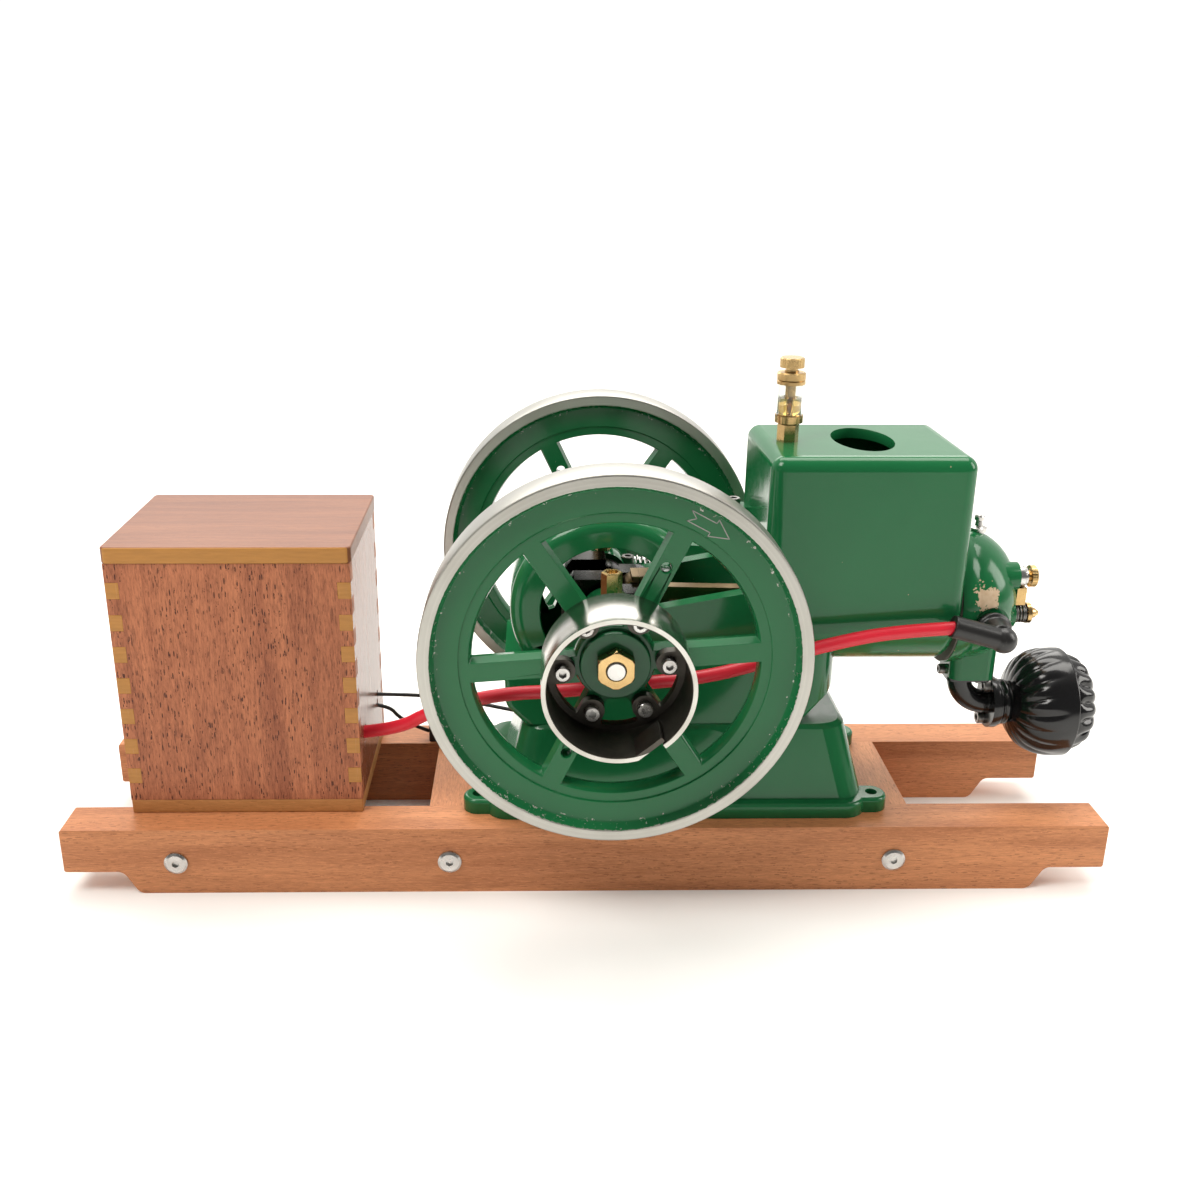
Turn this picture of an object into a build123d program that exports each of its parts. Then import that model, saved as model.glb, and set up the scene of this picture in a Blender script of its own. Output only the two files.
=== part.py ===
"""Model hopper-cooled petrol engine on a mahogany skid, with its ignition box.

Millimetres. X runs along the rails towards the muffler, Y away from the pulley side, Z up.
The origin is on the ground in the middle of the skid. Every piece is one STEP in parts/.
"""

import math
import os

from build123d import *

# ---------------------------------------------------------------- skid
RAIL_LENGTH = 400.0
RAIL_WIDTH = 17.3
RAIL_HEIGHT = 27.65
RAIL_INNER_Y = 26.3
RAIL_OUTER_Y = RAIL_INNER_Y + RAIL_WIDTH
END_LIFT = 9.5
STEP_START = 172.0
STEP_END = 177.5
CROSS_X = (-157.0, -52.6, 118.1)
RAIL_SCREW_Z = 13.5
RAIL_SCREW_R = 2.0
RAIL_SCREW_HEAD_R = 4.5
RAIL_SCREW_LENGTH = 34.0

# ---------------------------------------------------------------- ignition box
BOX_X = (-175.8, -86.6)
BOX_Y = (-30.7, 38.3)
BOARD = 5.7
WALL = 5.0
BOX_FLOOR = RAIL_HEIGHT + BOARD
BOX_TOP = 129.9
LID = 6.3
LID_OVERHANG = 0.5
LID_LEDGE = 4.0
LID_CORNER = 2.2
FINGERS = 7
FINGER_PITCH = 12.6
FINGER = 6.4
LEAD_Y = -16.0
LEAD_Z = 54.0
CELL_R = 7.1
CELL_LENGTH = 50.0

# ---------------------------------------------------------------- crank line
CRANK_X = 7.7
CRANK_Z = 106.6
THROW = 13.0
SHAFT_R = 5.0
STUB_R = 4.0
THREAD_R = 4.5
NEAR_THREAD_R = 3.5
THREAD_END = 75.2
FIT = 0.05
PIN_R = 4.0
WEB_Y = (6.5, 17.0)
COUNTERWEIGHT_R = 17.5
COUNTERWEIGHT_HEIGHT = 24.0
BUSH_R = 6.7
CAP_R = 10.2
CAP_LUG = 14.0
CAP_LUG_HEIGHT = 4.0
NEAR_BEARING_Y = (-44.0, -20.0)
FAR_BEARING_Y = (20.0, 32.0)

# ---------------------------------------------------------------- flywheels and pulley
WHEEL_R = 67.35
WHEEL_BACK = 55.3
WHEEL_FRONT = 71.2
RIM_FACE = 4.2
RIM_RECESS = 3.4
RING_INNER_R = 53.5
WINDOW_R = 50.0
HUB_R = 12.0
HUB_WINDOW_R = 13.6
HUB_BACK = 47.0
HUB_FRONT = 69.8
SPOKES = 6
SPOKE_FACE = 7.0
SPOKE_FIRST = 4.4
SPOKE_DRAFT = 14.0
RING_GROOVE = 0.6
WINDOW_CORNER = 2.0
PULLEY_R = 25.4
PULLEY_WALL = 1.7
PULLEY_FRONT = 91.2
PULLEY_FLANGE = 3.8
PULLEY_PCD = 36.0

# ---------------------------------------------------------------- castings
FOOT_TOP = 33.6
FOOT_X = (-39.0, 109.0)
FOOT_Y = 37.0
EAR_X = (-42.0, 112.0)
EAR_Y = 27.0
EAR_R = 5.8
EAR_HOLE_R = 2.3
PEDESTAL_TOP = 62.8
CASE_HALF = 26.0
CASE_INNER = 20.0
CASE_FLOOR = 70.0
NECK_X = 95.0
NECK_CORNER = 9.0
GUARD_R = 37.0
GUARD_INNER_R = 25.5
GUARD_HALF = 20.0
HOPPER_X = (64.8, 139.3)
HOPPER_HALF = 30.0
HOPPER_TOP = 168.5
JACKET_Z = 111.8
HOPPER_WALL = 4.0
PASSAGE_R = 19.0
FILLER_X = 103.8
LUG_SCREW_X = 60.0
FILLER_HALF = (11.3, 19.0)

# ---------------------------------------------------------------- cylinder and head
BORE_R = 12.0
LINER_R = 15.0
LINER_X = (84.0, 139.3)
GASKET = 0.6
HEAD_X = HOPPER_X[1] + GASKET
HEAD_R = 27.0
PISTON_X = (110.0, 136.0)
WRIST_X = 119.7
WRIST_R = 3.0
ROD_END_X = 78.7
PLUG_X = 151.5
PLUG_Z = 102.5
INTAKE_Y = -12.0
INTAKE_Z = 103.0
EXHAUST_Y = 12.0
EXHAUST_Z = 93.0
STEM_R = 1.5
SEAT_X = 143.0
HEAD_FACE_X = 164.0
FUEL_END = (167.9, 111.0)

# ---------------------------------------------------------------- valve gear
GEAR_MODULE = 0.7
CRANK_TEETH = 20
CAM_TEETH = 40
GEAR_Y = (38.6, 44.4)
CAM_Y = (33.0, 38.6)
CAM_BASE_R = 6.0
CAM_LIFT = 1.8
PUSHROD_Y = 36.0
PUSHROD_R = 1.5
ROCKER_Y = 24.0
ROCKER_X = 168.0
ROCKER_PIN_R = 2.0

# ---------------------------------------------------------------- exhaust
PORT_X = 148.4
PORT_Y = -8.0
PORT_Z = 76.5
MUFFLER_Z = 63.4
PIPE_R = 4.65
PIPE_BORE = 3.3
COLLAR_X = 160.2
DOME_X = 199.3

# ---------------------------------------------------------------- oiler and leads
OILER_X = 75.0
OILER_Y = -1.7
LEAD_R = 2.5
WIRE_R = 0.8
LEAD_ROUTE = [
    (-106.7, -16, 54), (-77, -16.4, 54.4), (-56, -34, 74), (-32, -45.5, 85), (-8, -46.5, 86.5),
    (18, -45.5, 89), (42, -44, 90.5), (64, -40.5, 95), (88, -37, 100.5), (112, -35.6, 105),
    (135.2, -36, 106.4),
]
SENSOR_WIRE = [(-106, 20.5, 50.3), (-83, 20.8, 50.2), (-77, 26.5, 38), (-66.4, 31, 31.4)]
GROUND_WIRE = [(-106, 21.7, 53.6), (-82, 21.9, 53.4), (-57, 29, 48.5), (-29.2, 24, 44.5)]

SCREW_M3_R = 1.5
SCREW_M3_HEAD_R = 2.65


# ================================================================ helpers
def block(x0, x1, y0, y1, z0, z1):
    """Box between two corners."""
    centre = Pos((x0 + x1) / 2, (y0 + y1) / 2, (z0 + z1) / 2)
    return centre * Box(x1 - x0, y1 - y0, z1 - z0)


def rod_x(x0, x1, y, z, r):
    """Cylinder along X."""
    return Pos((x0 + x1) / 2, y, z) * Rot(0, 90, 0) * Cylinder(r, x1 - x0)


def rod_y(y0, y1, x, z, r):
    """Cylinder along Y."""
    return Pos(x, (y0 + y1) / 2, z) * Rot(90, 0, 0) * Cylinder(r, y1 - y0)


def rod_z(z0, z1, x, y, r):
    """Cylinder along Z."""
    return Pos(x, y, (z0 + z1) / 2) * Cylinder(r, z1 - z0)


def turned(profile, origin, direction):
    """Revolve a closed (radius, height) outline about a line through origin."""
    points = [(r, 0, h) for r, h in profile]
    face = make_face(Polyline(*points, close=True))
    return Plane(origin=origin, z_dir=direction).location * revolve(face, Axis.Z)


def plate_xz(sketch, y0, y1):
    """Extrude a sketch drawn in X and Z from y0 to y1."""
    plane = Plane(origin=(0, y1, 0), x_dir=(1, 0, 0), z_dir=(0, -1, 0))
    return plane.location * extrude(sketch, y1 - y0)


def outline(points, radii=0.0):
    """Closed polygon face with rounded corners."""
    face = make_face(Polyline(*points, close=True))
    if radii:
        face = fillet(face.vertices(), radii)
    return face


def hexagon(width, height):
    """Hexagonal prism on the XY plane, by its width across flats."""
    return extrude(RegularPolygon(width / 2, 6, major_radius=False), height)


def cap_screw(length, head_r=SCREW_M3_HEAD_R, shank_r=SCREW_M3_R, head=3.0):
    """Socket cap screw whose head sits on Z = 0 and whose shank points down."""
    body = Pos(0, 0, head / 2) * Cylinder(head_r, head)
    body = chamfer(body.edges().group_by(Axis.Z)[-1], 0.3)
    body += Pos(0, 0, -length / 2) * Cylinder(shank_r, length)
    return body - Pos(0, 0, head - 1.6) * hexagon(head_r * 0.95, 1.7)


def aimed(shape, origin, direction):
    """Move a shape built along +Z to an origin and a direction."""
    return Plane(origin=origin, z_dir=direction).location * shape


def helical_spring(x0, x1, y, z, mean_r, wire_r, turns):
    """Open coil spring along X, its wire starting and ending inside x0 to x1."""
    length = x1 - x0 - 2 * wire_r
    path = Helix(pitch=length / turns, height=length, radius=mean_r)
    coil = sweep(Plane(origin=path @ 0, z_dir=path % 0) * Circle(wire_r), path=path)
    return aimed(coil, (x0 + wire_r, y, z), (1, 0, 0))


def cord(route, radius, name):
    """Tube of straight runs and tangent arcs through a hand-set route."""
    points = [Vector(*p) for p in route]
    radii = []
    for a, b, c in zip(points, points[1:], points[2:]):
        run = min((b - a).length, (c - b).length)
        half_turn = math.radians((b - a).get_angle(c - b)) / 2
        radii.append(0.45 * run / math.tan(half_turn))
    path = FilletPolyline(*points, radius=radii)
    tube = sweep(Plane(origin=path @ 0, z_dir=path % 0) * Circle(radius), path=path)
    ideal = math.pi * radius**2 * path.length
    print(name, "length", round(path.length, 1), "radii", [round(r, 1) for r in radii])
    print(name, "volume ratio", round(tube.volume / ideal, 4))
    return tube


# ================================================================ skid
def rail(side):
    """Skid rail with lifted ends; side is -1 for the front rail and 1 for the back one."""
    half = RAIL_LENGTH / 2
    points = [
        (-half, RAIL_HEIGHT), (-half, END_LIFT), (-STEP_END, END_LIFT), (-STEP_START, 0),
        (STEP_START, 0), (STEP_END, END_LIFT), (half, END_LIFT), (half, RAIL_HEIGHT),
    ]
    face = outline(points)
    steps = [v for v in face.vertices() if abs(v.X) < half - 1]
    face = fillet(steps, 4.0)
    ends = [v for v in face.vertices() if abs(v.X) > half - 1]
    face = fillet(ends, 1.0)
    inner = min(side * RAIL_INNER_Y, side * RAIL_OUTER_Y)
    body = plate_xz(face, inner, inner + RAIL_WIDTH)
    for x in CROSS_X:
        body -= rod_y(inner - 1, inner + RAIL_WIDTH + 1, x, RAIL_SCREW_Z, RAIL_SCREW_R)
    return body


def cross_members():
    """Three cross pieces of the rails' own stock."""
    pieces = []
    tip = RAIL_OUTER_Y - RAIL_SCREW_LENGTH
    for x in CROSS_X:
        half = RAIL_WIDTH / 2
        piece = block(x - half, x + half, -RAIL_INNER_Y, RAIL_INNER_Y, 0, RAIL_HEIGHT)
        piece -= rod_y(-RAIL_INNER_Y, -tip, x, RAIL_SCREW_Z, RAIL_SCREW_R)
        piece -= rod_y(tip, RAIL_INNER_Y, x, RAIL_SCREW_Z, RAIL_SCREW_R)
        pieces.append(piece)
    return pieces


def rail_screws():
    """Six button-head screws through the rails into the cross members."""
    head = turned(
        [(0, 0), (RAIL_SCREW_HEAD_R, 0), (RAIL_SCREW_HEAD_R, 0.7), (3.6, 1.3), (0, 1.3)],
        (0, 0, 0), (0, 0, 1),
    )
    head -= Pos(0, 0, 0.3) * hexagon(2.6, 1.1)
    head += Pos(0, 0, -RAIL_SCREW_LENGTH / 2) * Cylinder(RAIL_SCREW_R, RAIL_SCREW_LENGTH)
    screws = []
    for side in (-1, 1):
        for x in CROSS_X:
            screws.append(aimed(head, (x, side * RAIL_OUTER_Y, RAIL_SCREW_Z), (0, side, 0)))
    return screws


# ================================================================ ignition box
def finger_slots(x0, x1, y0, y1):
    """The seven joint fingers that cross one corner of the box."""
    middle = (BOX_FLOOR + BOX_TOP) / 2
    slots = []
    for k in range(FINGERS):
        z = middle + (k - (FINGERS - 1) / 2) * FINGER_PITCH
        slots.append(block(x0, x1, y0, y1, z - FINGER / 2, z + FINGER / 2))
    return slots


def long_panel(side):
    """Front (side 0) or back (side 1) panel, notched for the side panels' fingers."""
    y0 = BOX_Y[0] if side == 0 else BOX_Y[1] - WALL
    body = block(*BOX_X, y0, y0 + WALL, BOX_FLOOR, BOX_TOP)
    for x0 in (BOX_X[0], BOX_X[1] - WALL):
        for slot in finger_slots(x0, x0 + WALL, y0, y0 + WALL):
            body -= slot
    return body


def side_panel(side):
    """Left (0) or right (1) panel with its fingers; the right one passes the leads."""
    x0 = BOX_X[0] if side == 0 else BOX_X[1] - WALL
    body = block(x0, x0 + WALL, BOX_Y[0] + WALL, BOX_Y[1] - WALL, BOX_FLOOR, BOX_TOP)
    for y0 in (BOX_Y[0], BOX_Y[1] - WALL):
        for finger in finger_slots(x0, x0 + WALL, y0, y0 + WALL):
            body += finger
    if side == 1:
        body -= rod_x(x0 - 1, x0 + WALL + 1, LEAD_Y, LEAD_Z + 0.5, LEAD_R + 0.9)
        for route in (SENSOR_WIRE, GROUND_WIRE):
            body -= rod_x(x0 - 1, x0 + WALL + 1, route[0][1], route[0][2], WIRE_R + 0.7)
    return body


def box_base():
    """Floor board of the box, resting on the rails."""
    return block(*BOX_X, *BOX_Y, RAIL_HEIGHT, BOX_FLOOR)


def box_lid():
    """Lift-off lid with a locating frame under it."""
    def board(inset, z0, z1):
        x0, x1 = BOX_X[0] + inset, BOX_X[1] - inset
        return block(x0, x1, BOX_Y[0] + inset, BOX_Y[1] - inset, z0, z1)

    body = board(-LID_OVERHANG, BOX_TOP, BOX_TOP + LID)
    body = fillet(body.edges().filter_by(Axis.Z), LID_CORNER)
    body = fillet(body.faces().filter_by(Axis.Z).edges(), 0.7)
    frame = board(WALL + 0.3, BOX_TOP - LID_LEDGE, BOX_TOP + 1)
    frame -= board(WALL + 5.3, BOX_TOP - LID_LEDGE - 1, BOX_TOP)
    return body + frame


def battery_pack():
    """Open tray with four round cells stacked two by two."""
    x0 = -169.0
    y0 = 1.0
    pitch = 2 * CELL_R + 0.4
    length = CELL_LENGTH + 4
    tray = block(x0, x0 + length, y0, y0 + 2 * pitch + 3, BOX_FLOOR, BOX_FLOOR + 16)
    z0 = BOX_FLOOR + 1.5
    tray -= block(x0 + 1.5, x0 + length - 1.5, y0 + 1.5, y0 + 2 * pitch + 1.5, z0, z0 + 16)
    cells = []
    for row in range(2):
        for layer in range(2):
            y = y0 + 1.5 + pitch * (row + 0.5)
            z = BOX_FLOOR + 1.7 + CELL_R + layer * (2 * CELL_R + 0.2)
            cell = rod_x(x0 + 2, x0 + 2 + CELL_LENGTH - 1.5, y, z, CELL_R)
            cell += rod_x(x0 + CELL_LENGTH + 0.5, x0 + 2 + CELL_LENGTH, y, z, 2.7)
            cells.append(cell)
    return [tray] + cells


def ignition_module():
    """Potted spark module with its two outlet bosses."""
    body = block(-167.0, -110.0, -25.0, -3.0, BOX_FLOOR, BOX_FLOOR + 30)
    body = fillet(body.edges().filter_by(Axis.Z), 2.0)
    body += rod_x(-110.5, -107.0, LEAD_Y, LEAD_Z, 4.0)
    return body + rod_y(-3.5, -1.0, -135.0, BOX_FLOOR + 22, 3.0)


# ================================================================ engine base
def ear(x, y, height):
    """One rounded hold-down ear of the foot."""
    inward = -1 if x > 0 else 1
    body = rod_z(RAIL_HEIGHT, height, x, y, EAR_R)
    x0, x1 = sorted((x, x + inward * 14))
    return body + block(x0, x1, y - EAR_R, y + EAR_R, RAIL_HEIGHT, height)


def sub_base():
    """Hollow pedestal casting with its foot flange and four ears."""
    foot = block(*FOOT_X, -FOOT_Y, FOOT_Y, RAIL_HEIGHT, FOOT_TOP)
    foot = fillet(foot.edges().filter_by(Axis.Z), 9.0)
    for x in EAR_X:
        for y in (-EAR_Y, EAR_Y):
            foot += ear(x, y, FOOT_TOP)
    foot = fillet(foot.edges().group_by(Axis.Z)[-1], 1.4)
    low = Plane.XY.offset(FOOT_TOP - 1) * Pos(38.2, 0) * RectangleRounded(140.5, 66, 10)
    high = Plane.XY.offset(PEDESTAL_TOP) * Pos(37.8, 0) * RectangleRounded(125, 55, 10)
    tower = loft([low, high])
    tower = chamfer(tower.edges().group_by(Axis.Z)[-1], 1.6)
    body = foot + tower
    inner_low = Plane.XY.offset(RAIL_HEIGHT) * Pos(38, 0) * RectangleRounded(126, 52, 7)
    inner_high = Plane.XY.offset(PEDESTAL_TOP - 6) * Pos(38, 0) * RectangleRounded(113, 44, 7)
    body -= loft([inner_low, inner_high])
    for x in EAR_X:
        for y in (-EAR_Y, EAR_Y):
            body -= rod_z(RAIL_HEIGHT, FOOT_TOP, x, y, EAR_HOLE_R)
    return body - rod_y(22, 40, 70, 44, 1.4)


def fuel_tank():
    """Soldered sheet tank inside the pedestal, with its outlet union."""
    body = block(0, 76, -19, 19, 31.0, 54.0)
    body = fillet(body.edges(), 3.0)
    body -= block(1, 75, -18, 18, 32.0, 53.0)
    return body + rod_y(18.5, 22.0, 70, 44.0, 2.6)


def fuel_pipe():
    """Copper pipe from the tank, up behind the cylinder and across to the mixer."""
    route = [
        (70, 22, 44), (70, 42, 44), (84, 43, 58), (140, 43, 74), (FUEL_END[0], 43, 92),
        (FUEL_END[0], 40, FUEL_END[1]), (FUEL_END[0], -8.4, FUEL_END[1]),
    ]
    path = FilletPolyline(*route, radius=5.0)
    return sweep(Plane(origin=path @ 0, z_dir=path % 0) * Circle(1.2), path=path)


def neck_corner(side):
    """What rounding takes off one upright corner of the crankcase's neck."""
    middle = side * (CASE_HALF - NECK_CORNER)
    y0, y1 = sorted((middle, side * (CASE_HALF + 1)))
    corner = block(NECK_X - NECK_CORNER, NECK_X + 1, y0, y1, 60, 125)
    return corner - rod_z(59, 126, NECK_X - NECK_CORNER, middle, NECK_CORNER)


def crankcase():
    """Open-topped crankcase with bearing seats and the saddle under the cylinder."""
    side = [
        (-24, PEDESTAL_TOP), (-31, 70), (-31.5, 86), (-12, 93), (CRANK_X - CAP_LUG, CRANK_Z),
        (CRANK_X + CAP_LUG + 0.6, CRANK_Z), (CRANK_X + CAP_LUG + 0.6, 109.4), (56, 115.8),
        (HOPPER_X[0], 117.8), (NECK_X, 117.8), (NECK_X, 78), (84, 64.6), (80, PEDESTAL_TOP),
    ]
    body = plate_xz(outline(side), -CASE_HALF, CASE_HALF)
    rounded = [e for e in body.edges().filter_by(Axis.Y) if e.center().Z < 80 and e.center().Z > 63]
    body = fillet(rounded, 6.0)
    skirt = body.edges().filter_by(Axis.Y, reverse=True)
    skirt = [e for e in skirt if abs(abs(e.center().Y) - CASE_HALF) < 0.1 and e.center().Z < 90]
    body = fillet([e for e in skirt if e.center().Z > 63], 2.5)
    for side in (-1, 1):
        body -= neck_corner(side)
    body -= block(-25, HOPPER_X[0] - 3, -CASE_INNER, CASE_INNER, CASE_FLOOR, 130)
    for y0, y1 in (NEAR_BEARING_Y, FAR_BEARING_Y):
        boss = rod_y(y0, y1, CRANK_X, CRANK_Z, CAP_R + 0.6)
        boss += block(CRANK_X - CAP_LUG, CRANK_X + CAP_LUG, y0, y1, CRANK_Z - 5, CRANK_Z)
        boss -= block(-30, 50, y0, y1, CRANK_Z, CRANK_Z + 20)
        body += boss
        body -= rod_y(y0 - 1, y1 + 1, CRANK_X, CRANK_Z, BUSH_R)
        body -= rod_z(CRANK_Z - 9, CRANK_Z + 1, CRANK_X - 10.6, (y0 + y1) / 2, SCREW_M3_R)
        body -= rod_z(CRANK_Z - 9, CRANK_Z + 1, CRANK_X + 10.6, (y0 + y1) / 2, SCREW_M3_R)
    body -= hopper_outer()
    body -= rod_x(HOPPER_X[0] - 4, HOPPER_X[0] + 1, 0, CRANK_Z, PASSAGE_R)
    body -= rod_y(CASE_HALF - 8, CASE_HALF + 1, *cam_centre(), ROCKER_PIN_R)
    return body


def bearing_caps():
    """Half-round main bearing caps with screw lugs; the near one is longer."""
    caps = []
    for y0, y1 in (NEAR_BEARING_Y, FAR_BEARING_Y):
        cap = rod_y(y0, y1, CRANK_X, CRANK_Z, CAP_R)
        lug = block(CRANK_X - CAP_LUG, CRANK_X + CAP_LUG, y0, y1, CRANK_Z, CRANK_Z + CAP_LUG_HEIGHT)
        cap += fillet(lug.edges().filter_by(Axis.Z), 2.0)
        cap -= block(-30, 50, y0, y1, CRANK_Z - 20, CRANK_Z)
        cap -= rod_y(y0 - 1, y1 + 1, CRANK_X, CRANK_Z, BUSH_R)
        middle = (y0 + y1) / 2
        cup_y = oil_cup_y(y0, y1)
        cap -= rod_z(CRANK_Z + 5, CRANK_Z + 14, CRANK_X, cup_y, 1.6)
        for dx in (-10.6, 10.6):
            cap -= rod_z(CRANK_Z - 1, CRANK_Z + 14, CRANK_X + dx, middle, SCREW_M3_R)
            seat = CRANK_Z + CAP_LUG_HEIGHT
            cap -= rod_z(seat, CRANK_Z + 14, CRANK_X + dx, middle, SCREW_M3_HEAD_R)
        caps.append(cap)
    return caps


def oil_cup_y(y0, y1):
    """Where a bearing's oil cup stands: at the outer end of the near bearing."""
    return -40.0 if y0 < 0 else (y0 + y1) / 2


def bearing_bushes():
    """Bronze main bearing bushes."""
    bushes = []
    for y0, y1 in (NEAR_BEARING_Y, FAR_BEARING_Y):
        tube = rod_y(y0 - 0.6, y1 + 0.6, CRANK_X, CRANK_Z, BUSH_R)
        bushes.append(tube - rod_y(y0 - 2, y1 + 2, CRANK_X, CRANK_Z, SHAFT_R + FIT))
    return bushes


def oil_cups():
    """Hexagonal open brass oil cups on the bearing caps."""
    cups = []
    for y0, y1 in (NEAR_BEARING_Y, FAR_BEARING_Y):
        base = CRANK_Z + CAP_R
        cup = hexagon(6.6, 13.2)
        cup = chamfer(cup.edges().group_by(Axis.Z)[-1], 0.4)
        cup -= Pos(0, 0, 8.2) * Cylinder(2.3, 12)
        cup = Pos(CRANK_X, oil_cup_y(y0, y1), base) * cup
        cup += rod_z(base - 2.5, base + 1, CRANK_X, oil_cup_y(y0, y1), 1.6)
        cups.append(cup)
    return cups


def crank_guard():
    """Channel-section fender round the crank, with a rounded outer skin."""
    section = Plane.YZ * Pos(0, (GUARD_R + GUARD_INNER_R) / 2)
    outer = section * Rectangle(2 * GUARD_HALF, GUARD_R - GUARD_INNER_R)
    corners = [v for v in outer.vertices() if v.Z > 30]
    outer = fillet(corners, 5.4)
    inner = Plane.YZ * Pos(0, (GUARD_R - 2 + GUARD_INNER_R - 1) / 2) * Rectangle(
        2 * GUARD_HALF - 4, GUARD_R - GUARD_INNER_R - 1
    )
    corners = [v for v in inner.vertices() if v.Z > 30]
    inner = fillet(corners, 3.4)
    arc = 160.0
    channel = revolve(outer, Axis.Y, arc) - revolve(inner, Axis.Y, arc)
    channel = Rot(0, 40 - 160, 0) * channel
    return Pos(CRANK_X, 0, CRANK_Z) * channel


def cap_screw_group():
    """M3 socket cap screws: bearing caps, hopper lug, exhaust flange and cylinder head."""
    screws = []
    for y0, y1 in (NEAR_BEARING_Y, FAR_BEARING_Y):
        for dx in (-10.6, 10.6):
            seat = (CRANK_X + dx, (y0 + y1) / 2, CRANK_Z + CAP_LUG_HEIGHT)
            screws.append(aimed(cap_screw(12.0), seat, (0, 0, 1)))
    screws.append(aimed(cap_screw(5.0), (LUG_SCREW_X, 22.0, 136.5), (0, 0, 1)))
    screws.append(aimed(cap_screw(4.0, 2.0, 1.1, 2.4), (PORT_X + 8.0, PORT_Y, PORT_Z - 2.2), (0, 0, -1)))
    screws.append(aimed(cap_screw(4.0, 2.0, 1.1, 2.4), (142.0, PORT_Y, PORT_Z + 1.2), (-1, 0, 0)))
    for y, z in collar_screw_places():
        screws.append(aimed(cap_screw(4.0, head=2.4), (COLLAR_X, y, z), (-1, 0, 0)))
    return screws


def collar_screw_places():
    """Centres of the two screws that hold the muffler on the elbow."""
    places = []
    for angle in (100, 280):
        turn = math.radians(angle)
        places.append((PORT_Y + 7.6 * math.cos(turn), MUFFLER_Z + 7.6 * math.sin(turn)))
    return places


# ================================================================ hopper and cylinder
def hopper_outer():
    """Outer body of the water hopper, round below where it wraps the cylinder."""
    section = block(*HOPPER_X, -HOPPER_HALF, HOPPER_HALF, JACKET_Z, HOPPER_TOP)
    section += rod_x(*HOPPER_X, 0, JACKET_Z, HOPPER_HALF)
    upright = [e for e in section.edges().filter_by(Axis.Z) if e.length > 40]
    top = section.edges().group_by(Axis.Z)[-1]
    return fillet(upright + list(top), 5.0)


def water_hopper():
    """Hopper casting: open water space, cylinder seats and rod passage."""
    inner = HOPPER_HALF - HOPPER_WALL
    body = hopper_outer()
    lug = block(55.0, HOPPER_X[0] + 1, 17.5, 26.5, 130.5, 136.5)
    body += fillet(lug.edges().filter_by(Axis.Z), 3.0)
    low = block(88, 133, -inner, inner, JACKET_Z, 132)
    low += rod_x(88, 133, 0, JACKET_Z, inner)
    body -= low
    high = block(69, 135.3, -inner, inner, 131, HOPPER_TOP - HOPPER_WALL)
    body -= fillet(high.edges().filter_by(Axis.Z), 4.0)
    body -= rod_x(LINER_X[0] - 1, HOPPER_X[1] + 1, 0, CRANK_Z, LINER_R)
    body -= rod_x(HOPPER_X[0] - 1, LINER_X[0], 0, CRANK_Z, PASSAGE_R)
    oval = Plane.XY.offset(HOPPER_TOP - 6) * Pos(FILLER_X, 0.4) * Ellipse(*FILLER_HALF)
    body -= extrude(oval, 8)
    body -= rod_z(HOPPER_TOP - 3.4, HOPPER_TOP + 1, OILER_X, OILER_Y, 2.4)
    body -= rod_z(131, 137, LUG_SCREW_X, 22.0, SCREW_M3_R)
    return body


def cylinder_liner():
    """Cast-iron cylinder liner."""
    outer = rod_x(*LINER_X, 0, CRANK_Z, LINER_R)
    return outer - rod_x(LINER_X[0] - 1, LINER_X[1] + 1, 0, CRANK_Z, BORE_R)


def head_gasket():
    """Thin gasket between jacket and head."""
    body = rod_x(HOPPER_X[1], HEAD_X, 0, CRANK_Z, HEAD_R - 0.5)
    body -= rod_x(HOPPER_X[1] - 1, HEAD_X + 1, 0, CRANK_Z, BORE_R + 0.5)
    return body


def head_dome():
    """Solid of the head: a flanged dome turned about the cylinder axis."""
    start = (0, 0, HEAD_X)
    brim = (26.2, 0, HEAD_X + 6.4)
    edge = Polyline(start, (HEAD_R, 0, HEAD_X), (HEAD_R, 0, HEAD_X + 5.2), brim)
    dome = ThreePointArc(brim, (20.8, 0, 160.0), (8.0, 0, 166.4))
    nose = Polyline((8.0, 0, 166.4), (0, 0, 166.8), start)
    face = make_face(edge + dome + nose)
    solid = revolve(face, Axis.Z)
    return Plane(origin=(0, 0, CRANK_Z), z_dir=(1, 0, 0)).location * solid


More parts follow.
